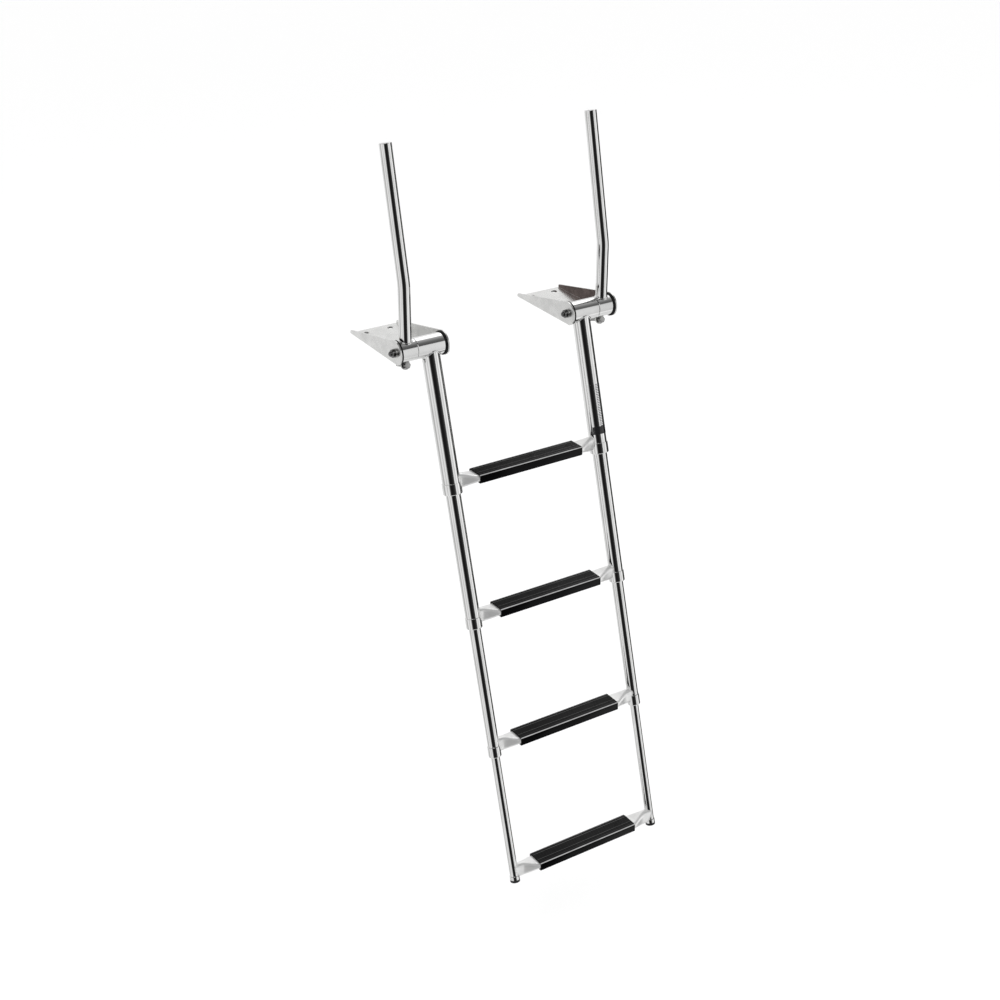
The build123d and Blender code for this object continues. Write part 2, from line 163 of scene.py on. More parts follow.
def axes_matrix(origin: Vector, along_x: Vector, along_z: Vector) -> Matrix:
    """Matrix of a right-handed set of axes.

    Args:
        origin: Where the axes meet.
        along_x: Unit vector of X.
        along_z: Unit vector of Z, square to X.

    Returns:
        The matrix from those axes to the CAD frame.
    """
    along_y = along_z.cross(along_x)
    turn = Matrix((along_x, along_y, along_z)).transposed()
    return Matrix.Translation(origin) @ turn.to_4x4()


# Shared shader effects


class Effects:
    """Shader node groups that several finishes share, each built once."""

    def __init__(self) -> None:
        """Start with no group built."""
        self.groups: dict[str, bpy.types.NodeTree] = {}

    def group(self, name: str, builder: Callable[[bpy.types.NodeTree], None]) -> bpy.types.NodeTree:
        """Return a group, building it the first time.

        Args:
            name: Name of the group.
            builder: Fills a new, empty tree.

        Returns:
            The node tree.
        """
        if name not in self.groups:
            tree = bpy.data.node_groups.new(name, "ShaderNodeTree")
            builder(tree)
            self.groups[name] = tree
        return self.groups[name]

    @staticmethod
    def socket(
        tree: bpy.types.NodeTree, name: str, kind: str, default: Optional[float] = None
    ) -> None:
        """Add an input to a group, or an output when it has no default.

        Args:
            tree: The group.
            name: Name of the socket.
            kind: Blender's socket type, without its common prefix.
            default: Starting value of a float input; None makes an output.
        """
        side = "OUTPUT" if default is None else "INPUT"
        made = tree.interface.new_socket(name, in_out=side, socket_type=f"NodeSocket{kind}")
        if kind == "Float" and default is not None:
            made.default_value = default

    def lay_lines(self) -> bpy.types.NodeTree:
        """Fine lines drawn along Z of the given vector, with their bump normal.

        Returns:
            The group.
        """

        def build(tree: bpy.types.NodeTree) -> None:
            """Fill the group."""
            self.socket(tree, "Vector", "Vector", 0.0)
            self.socket(tree, "Fineness", "Float", 900.0)
            self.socket(tree, "Stretch", "Float", 0.01)
            self.socket(tree, "Depth", "Float", 0.05)
            self.socket(tree, "Lines", "Float")
            self.socket(tree, "Normal", "Vector")
            net = Net(tree)
            given = net.add("NodeGroupInput")
            scale = net.add("ShaderNodeCombineXYZ")
            net.link(given.outputs["Fineness"], scale.inputs["X"])
            net.link(given.outputs["Fineness"], scale.inputs["Y"])
            along = net.maths("MULTIPLY", given.outputs["Fineness"], given.outputs["Stretch"])
            net.link(along, scale.inputs["Z"])
            stretched = net.add("ShaderNodeVectorMath", operation="MULTIPLY")
            net.link(given.outputs["Vector"], stretched.inputs[0])
            net.link(scale.outputs[0], stretched.inputs[1])
            noise = net.noise(stretched.outputs[0], Scale=1.0, Detail=3.0)
            bump = net.bump(noise, given.outputs["Depth"], Distance=0.0002)
            out = net.add("NodeGroupOutput")
            net.link(noise, out.inputs["Lines"])
            net.link(bump, out.inputs["Normal"])

        return self.group("lay lines", build)

    def smears(self) -> bpy.types.NodeTree:
        """Broad cloudy mask, such as the haze that a polishing cloth leaves.

        Returns:
            The group.
        """

        def build(tree: bpy.types.NodeTree) -> None:
            """Fill the group."""
            self.socket(tree, "Vector", "Vector", 0.0)
            self.socket(tree, "Scale", "Float", 14.0)
            self.socket(tree, "Contrast", "Float", 0.2)
            self.socket(tree, "Mask", "Float")
            net = Net(tree)
            given = net.add("NodeGroupInput")
            noise = net.noise(
                given.outputs["Vector"], Scale=given.outputs["Scale"], Detail=5.0, Distortion=0.6
            )
            low = net.maths("SUBTRACT", 0.5, given.outputs["Contrast"])
            high = net.maths("ADD", 0.5, given.outputs["Contrast"])
            spread = net.add("ShaderNodeMapRange", interpolation_type="SMOOTHSTEP")
            net.link(noise, spread.inputs["Value"])
            net.link(low, spread.inputs["From Min"])
            net.link(high, spread.inputs["From Max"])
            out = net.add("NodeGroupOutput")
            net.link(spread.outputs["Result"], out.inputs["Mask"])

        return self.group("smears", build)

    def edge_wear(self) -> bpy.types.NodeTree:
        """Mask of worn edges, broken up by noise, and a normal that rounds them.

        Returns:
            The group.
        """
        crisp, round_off = 0.995, 0.86

        def build(tree: bpy.types.NodeTree) -> None:
            """Fill the group."""
            self.socket(tree, "Vector", "Vector", 0.0)
            self.socket(tree, "Amount", "Float", 0.5)
            self.socket(tree, "Reach", "Float", 0.0007)
            self.socket(tree, "Mask", "Float")
            self.socket(tree, "Normal", "Vector")
            net = Net(tree)
            given = net.add("NodeGroupInput")
            rounded = net.add("ShaderNodeBevel", samples=4)
            net.link(given.outputs["Reach"], rounded.inputs["Radius"])
            shape = net.add("ShaderNodeNewGeometry")
            along = net.add("ShaderNodeVectorMath", operation="DOT_PRODUCT")
            net.link(rounded.outputs["Normal"], along.inputs[0])
            net.link(shape.outputs["Normal"], along.inputs[1])
            edge = net.add("ShaderNodeMapRange")
            edge.inputs["From Min"].default_value = crisp
            edge.inputs["From Max"].default_value = round_off
            net.link(along.outputs["Value"], edge.inputs["Value"])
            noise = net.noise(given.outputs["Vector"], Scale=260.0, Detail=4.0)
            patchy = net.remap(noise, 0.3, 1.3)
            broken = net.maths("MULTIPLY", edge.outputs["Result"], patchy)
            out = net.add("NodeGroupOutput")
            net.link(net.maths("MULTIPLY", broken, given.outputs["Amount"]), out.inputs["Mask"])
            net.link(rounded.outputs["Normal"], out.inputs["Normal"])

        return self.group("edge wear", build)

    def grain(self) -> bpy.types.NodeTree:
        """Fine pitted grain with its mask and bump normal.

        Returns:
            The group.
        """

        def build(tree: bpy.types.NodeTree) -> None:
            """Fill the group."""
            self.socket(tree, "Vector", "Vector", 0.0)
            self.socket(tree, "Scale", "Float", 900.0)
            self.socket(tree, "Depth", "Float", 0.15)
            self.socket(tree, "Normal", "Vector", 0.0)
            self.socket(tree, "Mask", "Float")
            self.socket(tree, "Normal", "Vector")
            net = Net(tree)
            given = net.add("NodeGroupInput")
            noise = net.noise(
                given.outputs["Vector"], Scale=given.outputs["Scale"], Detail=6.0, Roughness=0.65
            )
            bump = net.bump(
                noise, given.outputs["Depth"], Distance=0.0003, Normal=given.outputs["Normal"]
            )
            out = net.add("NodeGroupOutput")
            net.link(noise, out.inputs["Mask"])
            net.link(bump, out.inputs["Normal"])

        return self.group("grain", build)


class Net:
    """Short ways to add and link the nodes of one tree."""

    def __init__(self, tree: bpy.types.NodeTree) -> None:
        """Work on a tree.

        Args:
            tree: The node tree to fill.
        """
        self.tree = tree

    def add(self, kind: str, **settings: object) -> bpy.types.Node:
        """Add a node and set its properties.

        Args:
            kind: Blender's node type.
            **settings: Properties to set on the node.

        Returns:
            The new node.
        """
        node = self.tree.nodes.new(kind)
        for name, value in settings.items():
            setattr(node, name, value)
        return node

    def link(self, source: bpy.types.NodeSocket, target: bpy.types.NodeSocket) -> None:
        """Join an output to an input."""
        self.tree.links.new(source, target)

    def feed(self, source: object, target: bpy.types.NodeSocket) -> None:
        """Give an input what it needs.

        Args:
            source: A socket, a colour, or a number; a number on a colour makes a grey.
            target: The input.
        """
        if isinstance(source, bpy.types.NodeSocket):
            self.link(source, target)
        elif isinstance(source, tuple):
            target.default_value = (*source, 1)
        elif target.type == "RGBA":
            target.default_value = (source, source, source, 1)
        else:
            target.default_value = source

    def maths(self, operation: str, first: object, second: object = 0.0) -> bpy.types.NodeSocket:
        """Add a Math node.

        Args:
            operation: What the node does.
            first: A socket or a number.
            second: A socket or a number.

        Returns:
            The node's output.
        """
        node = self.add("ShaderNodeMath", operation=operation)
        for value, target in zip((first, second), node.inputs):
            self.feed(value, target)
        return node.outputs[0]

    def noise(self, vector: bpy.types.NodeSocket, **values: object) -> bpy.types.NodeSocket:
        """Add a noise texture.

        Args:
            vector: Where it is read.
            **values: Its other inputs, by name, as sockets or numbers.

        Returns:
            The noise, from 0 to 1.
        """
        node = self.add("ShaderNodeTexNoise")
        self.link(vector, node.inputs["Vector"])
        for name, value in values.items():
            self.feed(value, node.inputs[name])
        return node.outputs["Fac"]

    def bump(
        self, height: bpy.types.NodeSocket, strength: bpy.types.NodeSocket, **values: object
    ) -> bpy.types.NodeSocket:
        """Add a bump.

        Args:
            height: What stands up.
            strength: How strongly it shows.
            **values: Its other inputs, by name, as sockets or numbers.

        Returns:
            The normal.
        """
        node = self.add("ShaderNodeBump")
        self.link(height, node.inputs["Height"])
        self.link(strength, node.inputs["Strength"])
        for name, value in values.items():
            self.feed(value, node.inputs[name])
        return node.outputs["Normal"]

    def parts(self, vector: bpy.types.NodeSocket) -> bpy.types.bpy_prop_collection:
        """The X, Y and Z outputs of a vector."""
        node = self.add("ShaderNodeSeparateXYZ")
        self.link(vector, node.inputs[0])
        return node.outputs

    def effect(
        self, tree: bpy.types.NodeTree, vector: bpy.types.NodeSocket, **values: float
    ) -> bpy.types.Node:
        """Place a shared effect.

        Args:
            tree: The effect's node group.
            vector: What feeds its Vector input.
            **values: Its other inputs, by name.

        Returns:
            The group node.
        """
        node = self.add("ShaderNodeGroup")
        node.node_tree = tree
        self.link(vector, node.inputs["Vector"])
        for name, value in values.items():
            node.inputs[name].default_value = value
        return node

    def mix(self, mask: bpy.types.NodeSocket, first: object, second: object) -> bpy.types.NodeSocket:
        """Mix two colours by a mask.

        Args:
            mask: 0 gives the first and 1 the second.
            first: A socket, a colour or the brightness of a grey.
            second: A socket, a colour or the brightness of a grey.

        Returns:
            The mixed colour.
        """
        node = self.add("ShaderNodeMix", data_type="RGBA")
        self.link(mask, node.inputs["Factor"])
        self.feed(first, node.inputs["A"])
        self.feed(second, node.inputs["B"])
        return node.outputs["Result"]

    def ramp(
        self, value: bpy.types.NodeSocket, low: float, high: float, stops: Sequence[tuple[float, float]]
    ) -> bpy.types.NodeSocket:
        """Brightness from a value, by stops.

        Args:
            value: The value.
            low: Its lowest.
            high: Its highest.
            stops: Value and brightness of each stop, from the lowest value to the highest.

        Returns:
            The brightness, as a colour.
        """
        reach = high - low
        node = self.add("ShaderNodeValToRGB")
        share = self.maths("ADD", self.maths("MULTIPLY", value, 1 / reach), -low / reach)
        self.link(share, node.inputs["Fac"])
        elements = node.color_ramp.elements
        places = [(place - low) / reach for place, _ in stops]
        elements[0].position, elements[1].position = places[0], places[-1]
        for place in places[1:-1]:
            elements.new(place)
        for element, (_, bright) in zip(elements, stops):
            element.color = (bright, bright, bright, 1)
        return node.outputs["Color"]

    def remap(self, value: bpy.types.NodeSocket, low: float, high: float) -> bpy.types.NodeSocket:
        """Spread a 0 to 1 value over another range.

        Args:
            value: The value.
            low: Result at 0.
            high: Result at 1.

        Returns:
            The spread value.
        """
        node = self.add("ShaderNodeMapRange")
        self.link(value, node.inputs["Value"])
        node.inputs["To Min"].default_value = low
        node.inputs["To Max"].default_value = high
        return node.outputs["Result"]


EFFECTS = Effects()


# Finishes


@dataclass(frozen=True)
class Finish:
    """What every finish has: a name, the record's slot and the lay of its lines.

    Attributes:
        name: Name of the material.
        slot: Material slot of the record that the finish belongs to; not used.
        lay: Direction of its polishing lines.
    """

    name: str
    slot: str
    lay: Lay = Lay.PLUMB

    def start(self, lean: float) -> tuple[bpy.types.Material, Net, bpy.types.Node, bpy.types.NodeSocket]:
        """Make an empty material with its shader and its turned coordinates.

        Args:
            lean: Lean of the stiles, in radians.

        Returns:
            The material, its net, its Principled shader and a vector whose Z runs along the lay.
        """
        material = bpy.data.materials.new(self.name)
        material.use_nodes = True
        net = Net(material.node_tree)
        shader = material.node_tree.nodes["Principled BSDF"]
        place = net.add("ShaderNodeTexCoord")
        turn = net.add("ShaderNodeMapping")
        turn.inputs["Rotation"].default_value = {
            Lay.STILE: (lean, 0, 0),
            Lay.PIVOT: (0, -math.pi / 2, 0),
            Lay.RUNG: (0, -math.pi / 2, 0),
            Lay.PLUMB: (0, 0, 0),
        }[self.lay]
        net.link(place.outputs["Object"], turn.inputs["Vector"])
        return material, net, shader, turn.outputs["Vector"]


@dataclass(frozen=True)
class PolishedSteel(Finish):
    """Stainless steel, polished bright, with faint lines and a little haze.

    Attributes:
        bright, dull: Colours of the clear and the hazy metal.
        roughness: Of the clear metal and of the haze.
        fineness, stretch, depth: Lines in a metre, their shrinking along the lay, and their depth.
        haze_scale, haze_contrast: Fineness of the haze, and how gradually it starts.
        wear: How far edges are worn.
        metallic: Below 1, a share of the light scatters as from a matt skin.
    """

    bright: Rgb = (0.93, 0.93, 0.925)
    dull: Rgb = (0.84, 0.84, 0.835)
    roughness: tuple[float, float] = (0.045, 0.11)
    fineness: float = 1400.0
    stretch: float = 0.012
    depth: float = 0.05
    haze_scale: float = 16.0
    haze_contrast: float = 0.22
    wear: float = 0.5
    metallic: float = 1.0

    def make(self, lean: float) -> bpy.types.Material:
        """Build the material.

        Args:
            lean: Lean of the stiles, in radians.

        Returns:
            The finished material.
        """
        material, net, shader, vector = self.start(lean)
        lines = net.effect(
            EFFECTS.lay_lines(), vector, Fineness=self.fineness, Stretch=self.stretch, Depth=self.depth
        )
        haze = net.effect(EFFECTS.smears(), vector, Scale=self.haze_scale, Contrast=self.haze_contrast)
        worn = net.effect(EFFECTS.edge_wear(), vector, Amount=self.wear)
        clouded = net.maths("MULTIPLY", haze.outputs["Mask"], net.remap(lines.outputs["Lines"], 0.5, 1.5))
        rubbed = net.maths("MAXIMUM", clouded, worn.outputs["Mask"])
        net.link(net.mix(clouded, self.bright, self.dull), shader.inputs["Base Color"])
        net.link(net.remap(rubbed, *self.roughness), shader.inputs["Roughness"])
        net.link(lines.outputs["Normal"], shader.inputs["Normal"])
        shader.inputs["Metallic"].default_value = self.metallic
        return material


@dataclass(frozen=True)
class SatinPlate(Finish):
    """Electropolished plate: a soft grey sheen, fine grain and brighter edges.

    Attributes:
        face, cloud, edge: Colours of the plain metal, its duller patches and its edges.
        roughness: Of the plain metal and of the patches.
        cloud_scale, cloud_contrast: Fineness of the patches, and how gradually they start.
        grain_scale, depth: Fineness and depth of the grain.
        wear: How far edges are worn.
    """

    face: Rgb = (0.86, 0.86, 0.85)
    cloud: Rgb = (0.74, 0.74, 0.73)
    edge: Rgb = (0.93, 0.93, 0.92)
    roughness: tuple[float, float] = (0.20, 0.34)
    cloud_scale: float = 30.0
    cloud_contrast: float = 0.3
    grain_scale: float = 1100.0
    depth: float = 0.12
    wear: float = 0.7

    def base(
        self, net: Net, vector: bpy.types.NodeSocket, cloud: bpy.types.NodeSocket
    ) -> bpy.types.NodeSocket:
        """Colour of the plate before its edges are worn.

        Args:
            net: The material's net.
            vector: Turned coordinates; not used here.
            cloud: Mask of the duller patches.

        Returns:
            The colour.
        """
        return net.mix(cloud, self.face, self.cloud)

    def make(self, lean: float) -> bpy.types.Material:
        """Build the material.

        Args:
            lean: Lean of the stiles, in radians.

        Returns:
            The finished material.
        """
        material, net, shader, vector = self.start(lean)
        grain = net.effect(EFFECTS.grain(), vector, Scale=self.grain_scale, Depth=self.depth)
        cloud = net.effect(
            EFFECTS.smears(), vector, Scale=self.cloud_scale, Contrast=self.cloud_contrast
        )
        worn = net.effect(EFFECTS.edge_wear(), vector, Amount=self.wear)
        net.link(worn.outputs["Normal"], grain.inputs["Normal"])
        base = self.base(net, vector, cloud.outputs["Mask"])
        net.link(net.mix(worn.outputs["Mask"], base, self.edge), shader.inputs["Base Color"])
        net.link(net.remap(cloud.outputs["Mask"], *self.roughness), shader.inputs["Roughness"])
        net.link(grain.outputs["Normal"], shader.inputs["Normal"])
        shader.inputs["Metallic"].default_value = 1.0
        return material


@dataclass(frozen=True)
class BracketPlate(SatinPlate):
    """Satin plate with a painted dark reflection on the inner face of its outboard cheek.

    Attributes:
        middle: Distance of a bracket's middle from the ladder's middle plane.
        tint, tint_light: Darker and paler colours of the painted dark reflection.
        facing: How squarely a face must look inwards to get the painted reflection, -1 being squarely.
    """

    middle: float = 0.206
    # Darker and paler colours of a painted dark reflection on the outboard cheek's inner face.
    tint: Rgb = (0.075, 0.057, 0.052)
    tint_light: Rgb = (0.24, 0.19, 0.18)
    facing: float = -0.5

    def base(
        self, net: Net, vector: bpy.types.NodeSocket, cloud: bpy.types.NodeSocket
    ) -> bpy.types.NodeSocket:
        """Colour of the plate, with a painted dark reflection on the inner face of its outboard cheek.

        Args:
            net: The material's net.
            vector: Turned coordinates.
            cloud: Mask of the duller patches.

        Returns:
            The colour.
        """
        place = net.parts(vector)
        normal = net.parts(net.add("ShaderNodeNewGeometry").outputs["Normal"])
        side = net.maths("SIGN", place["X"])
        off_middle = net.maths("SUBTRACT", net.maths("ABSOLUTE", place["X"]), self.middle)
        outboard = net.maths("GREATER_THAN", off_middle, 0.0)
        inward = net.maths("LESS_THAN", net.maths("MULTIPLY", normal["X"], side), self.facing)
        # Painted dark reflection: the outboard cheek's inner face gets a dark brown-grey in place of the
        # plate's own colour.
        painted_reflection = net.mix(cloud, self.tint, self.tint_light)
        plain = net.mix(cloud, self.face, self.cloud)
        return net.mix(net.maths("MULTIPLY", outboard, inward), plain, painted_reflection)


@dataclass(frozen=True)
class Plastic(Finish):
    """Plastic or rubber: a fine grain, cloudy gloss, scuffed edges and a pale painted highlight where a
    point attribute marks one.

    Attributes:
        colour, scuffed: Colours of the plain plastic and of its edges.
        roughness: Of the glossier and of the duller patches.
        cloud_scale, cloud_contrast: Fineness of the patches, and how gradually they start.
        grain_scale, depth: Fineness and depth of the grain.
        wear: How far edges are scuffed.
        specular: Strength of the gloss.
        crest_highlight: Pale colour of the painted highlight along a tread's beads and ribs.
    """

    colour: Rgb = (0.012, 0.012, 0.013)
    scuffed: Rgb = (0.06, 0.06, 0.062)
    roughness: tuple[float, float] = (0.32, 0.5)
    cloud_scale: float = 40.0
    cloud_contrast: float = 0.25
    grain_scale: float = 1500.0
    depth: float = 0.2
    wear: float = 0.7
    specular: float = 0.5
    # Pale colour of the painted highlight laid along the covers' beads and ribs.
    crest_highlight: Rgb = (0.55, 0.55, 0.55)

    def make(self, lean: float) -> bpy.types.Material:
        """Build the material.

        Args:
            lean: Lean of the stiles, in radians.

        Returns:
            The finished material.
        """
        material, net, shader, vector = self.start(lean)
        grain = net.effect(EFFECTS.grain(), vector, Scale=self.grain_scale, Depth=self.depth)
        cloud = net.effect(
            EFFECTS.smears(), vector, Scale=self.cloud_scale, Contrast=self.cloud_contrast
        )
        worn = net.effect(EFFECTS.edge_wear(), vector, Amount=self.wear)
        net.link(worn.outputs["Normal"], grain.inputs["Normal"])
        base = net.mix(worn.outputs["Mask"], self.colour, self.scuffed)
        # Painted highlight: the colour is mixed towards a pale grey where the point attribute marks the
        # beads and ribs, standing in for the light they catch.
        rubbed = net.add("ShaderNodeAttribute", attribute_name=HIGHLIGHT_ATTRIBUTE)
        share = net.maths("MULTIPLY", rubbed.outputs["Fac"], net.remap(cloud.outputs["Mask"], 0.7, 1.0))
        net.link(net.mix(share, base, self.crest_highlight), shader.inputs["Base Color"])
        net.link(net.remap(cloud.outputs["Mask"], *self.roughness), shader.inputs["Roughness"])
        net.link(grain.outputs["Normal"], shader.inputs["Normal"])
        shader.inputs["Specular IOR Level"].default_value = self.specular
        return material


@dataclass(frozen=True)
class LabelFilm(Finish):
    """Silvery film with a narrow column of plain dark bars.

    Attributes:
        ground, bar: Colours of the film and of its bars.
        column: Middle of the column of bars, in X.
        half_column: Half the column's width.
        pitch: From bar to bar.
        share: Share of the pitch that a bar takes.
        roughness: Of the smoother and of the more smeared film.
        smear_scale, smear_contrast: Fineness of the smears, and how gradually they start.
        ragged: Share of the half width that the shortest bars keep.
    """

    ground: Rgb = (0.82, 0.82, 0.82)
    bar: Rgb = (0.10, 0.10, 0.11)
    column: float = 0.1865
    half_column: float = 0.0052
    pitch: float = 0.0036
    share: float = 0.4
    roughness: tuple[float, float] = (0.05, 0.12)
    smear_scale: float = 420.0
    smear_contrast: float = 0.12
    ragged: float = 0.5

    def make(self, lean: float) -> bpy.types.Material:
        """Build the material.

        Args:
            lean: Lean of the stiles, in radians.

        Returns:
            The finished material.
        """
        material, net, shader, vector = self.start(lean)
        parts = net.parts(vector)
        step = net.maths("FRACT", net.maths("DIVIDE", parts["Z"], self.pitch))
        bars = net.maths("LESS_THAN", step, self.share)
        off = net.maths("ABSOLUTE", net.maths("SUBTRACT", parts["X"], self.column))
        smear = net.effect(
            EFFECTS.smears(), vector, Scale=self.smear_scale, Contrast=self.smear_contrast
        )
        reach = net.remap(smear.outputs["Mask"], self.half_column * self.ragged, self.half_column)
        inside = net.maths("LESS_THAN", off, reach)
        printed = net.maths("MULTIPLY", bars, inside)
        net.link(net.mix(printed, self.ground, self.bar), shader.inputs["Base Color"])
        net.link(net.remap(smear.outputs["Mask"], *self.roughness), shader.inputs["Roughness"])
        shader.inputs["Metallic"].default_value = 1.0
        return material


@dataclass(frozen=True)
class Finishes:
    """Every finish of the ladder, by the piece that it is on."""

    stile: PolishedSteel = PolishedSteel("drawn stile tube", "polished_tube", Lay.STILE)
    rail: PolishedSteel = PolishedSteel("drawn handrail tube", "polished_tube", Lay.PLUMB)
    rung: PolishedSteel = PolishedSteel(
        "pressed rung", "polished_rung", Lay.RUNG, roughness=(0.27, 0.38), depth=0.015, haze_scale=30.0,
        metallic=0.66
    )
    collar: PolishedSteel = PolishedSteel(
        "turned collar", "polished_collar", Lay.STILE, stretch=30.0, fineness=90.0, depth=0.04
    )
    barrel: PolishedSteel = PolishedSteel(
        "turned barrel", "polished_barrel", Lay.PIVOT, stretch=40.0, fineness=60.0, depth=0.03
    )
    weld: PolishedSteel = PolishedSteel(
        "polished weld", "polished_barrel", Lay.PLUMB, roughness=(0.1, 0.26), haze_scale=120.0
    )
    plate: BracketPlate = BracketPlate(
        "electropolished plate", "bracket_plate", edge=(0.88, 0.88, 0.87), wear=0.4
    )
    fastener: SatinPlate = SatinPlate(
        "fastener steel", "fastener_steel", face=(0.62, 0.62, 0.61), cloud=(0.5, 0.5, 0.49),
        roughness=(0.12, 0.26), depth=0.06
    )
    # Painted dark reflection: the pivot bolts and nuts get a steel colour far darker than bare steel,
    # standing in for the dark surroundings they mirror.
    pivot_steel: SatinPlate = SatinPlate(
        "dark pivot steel", "fastener_steel", face=(0.20, 0.20, 0.20), cloud=(0.11, 0.11, 0.11),
        roughness=(0.05, 0.12), depth=0.02
    )
    stop_steel: SatinPlate = SatinPlate(
        "stop screw steel", "fastener_steel", face=(0.50, 0.50, 0.49), cloud=(0.26, 0.26, 0.26),
        roughness=(0.05, 0.14), depth=0.03
    )
    cover: Plastic = Plastic(
        "extruded cover", "cover_plastic", Lay.RUNG, colour=(0.0018, 0.0018, 0.002),
        scuffed=(0.012, 0.012, 0.0125), roughness=(0.16, 0.26), specular=0.08,
        grain_scale=700.0, depth=0.012, wear=0.5
    )
    nylon: Plastic = Plastic(
        "black nylon", "nylon_black", Lay.PIVOT, colour=(0.006, 0.006, 0.0065),
        roughness=(0.35, 0.5), specular=0.12
    )
    guide: Plastic = Plastic(
        "white acetal", "nylon_white", Lay.STILE, colour=(0.8, 0.79, 0.76), scuffed=(0.86, 0.85, 0.82)
    )
    foot: Plastic = Plastic("moulded foot", "foot_plastic", Lay.STILE, roughness=(0.5, 0.7))
    label: LabelFilm = LabelFilm("label film", "label_film", Lay.STILE)
    label_dark: Plastic = Plastic(
        "dark label film", "label_dark", Lay.STILE, roughness=(0.12, 0.22), depth=0.03, wear=0.2
    )


class Wardrobe:
    """Makes each finish once and puts it on pieces."""

    def __init__(self, lean: float) -> None:
        """Keep the lean that turned coordinates need.

        Args:
            lean: Lean of the stiles, in radians.
        """
        self.lean = lean
        self.made: dict[Finish, bpy.types.Material] = {}

    def material(self, finish: Finish) -> bpy.types.Material:
        """The material of a finish, made the first time.

        Args:
            finish: The finish.

        Returns:
            Its material.
        """
        if finish not in self.made:
            self.made[finish] = finish.make(self.lean)
        return self.made[finish]

    def dress_nodes(self, finish: Finish, names: Iterable[str]) -> None:
        """Put a finish on CAD nodes.

        Args:
            finish: The finish.
            names: Names of the nodes.
        """
        for name in names:
            for slot in frame["nodes"][name].material_slots:
                slot.material = self.material(finish)
            LOG.info("dressed %s in %s", name, finish.name)

    def dress(self, piece: bpy.types.Object, finish: Finish) -> None:
        """Put a finish on a piece made here.

        Args:
            piece: The piece.
            finish: The finish.
        """
        piece.data.materials.append(self.material(finish))


# Mesh making


def smoothstep(t: float) -> float:
    """Ease from 0 to 1 with level ends."""
    return t * t * (3 - 2 * t)


def bump_shape(offset: float, width: float) -> float:
    """Rounded bump, 1 at its middle and 0 beyond its width."""
    t = abs(offset) / (width / 2)
    return max(0.0, 1 - t**4) ** 0.5 if t < 1 else 0.0


def on_circle(centre: tuple[float, float], radius: float, degrees: float) -> tuple[float, float]:
    """Point of a circle at an angle."""
    angle = math.radians(degrees)
    return centre[0] + radius * math.cos(angle), centre[1] + radius * math.sin(angle)


def arc(centre: tuple[float, float], radius: float, start: float, end: float) -> Outline:
    """Points of an arc, ends included.

    Args:
        centre: Its centre.
        radius: Its radius.
        start: First angle, in degrees.
        end: Last angle, in degrees.

    Returns:
        The points.
    """
    return [on_circle(centre, radius, start + (end - start) * i / ARC_STEPS) for i in range(ARC_STEPS + 1)]


def between(first: Sequence[float], second: Sequence[float], share: float) -> tuple[float, ...]:
    """Point part of the way from one point to another."""
    return tuple(a + (b - a) * share for a, b in zip(first, second))


def rounded_box(half_y: float, half_z: float, corner: float) -> Outline:
    """Rounded rectangle as four arcs, from the top corner towards the boat, anticlockwise.

    Args:
        half_y: Half its size along Y.
        half_z: Half its size along Z.
        corner: Radius of its corners.

    Returns:
        The points, as Y and Z; the straight sides have no points of their own.
    """
    y, z = half_y - corner, half_z - corner
    middles = ((y, z), (-y, z), (-y, -z), (y, -z))
    return [point for i, middle in enumerate(middles) for point in arc(middle, corner, 90 * i, 90 * i + 90)]


def skin(
    name: str, loops: Sequence[Loop], ring: bool = False, sharp: float = math.radians(35)
) -> bpy.types.Object:
    """Join closed loops of equal length into one smooth closed mesh.

    Args:
        name: Name of the piece.
        loops: The loops in order; each has the same number of points.
        ring: Whether the last loop joins the first; otherwise both ends are capped.
        sharp: Edges that turn more than this stay crisp, in radians.

    Returns:
        The piece, linked to the scene.
    """
    work = bmesh.new()
    rows = [[work.verts.new(point) for point in loop] for loop in loops]
    count = len(rows[0])
    pairs = list(zip(rows, rows[1:] + rows[:1] if ring else rows[1:]))
    for lower, upper in pairs:
        for i in range(count):
            j = (i + 1) % count
            work.faces.new((lower[i], lower[j], upper[j], upper[i]))
    if not ring:
        caps = [work.faces.new(rows[0][::-1]), work.faces.new(rows[-1])]
        bmesh.ops.triangulate(work, faces=caps, ngon_method="EAR_CLIP")
    bmesh.ops.recalc_face_normals(work, faces=work.faces)
    mesh = bpy.data.meshes.new(name)
    work.to_mesh(mesh)
    work.free()
    mesh.shade_smooth()
    mesh.set_sharp_from_angle(angle=sharp)
    piece = bpy.data.objects.new(name, mesh)
    bpy.context.scene.collection.objects.link(piece)
    return piece


def join(name: str, pieces: Sequence[bpy.types.Object]) -> bpy.types.Object:
    """Join meshes that are one piece of metal or a set of like pieces.

    Args:
        name: Name of the joined piece.
        pieces: The meshes; they are used up.

    Returns:
        The joined piece.
    """
    with bpy.context.temp_override(
        active_object=pieces[0], selected_editable_objects=list(pieces), object=pieces[0]
    ):
        bpy.ops.object.join()
    pieces[0].name = name
    pieces[0].data.name = name
    return pieces[0]


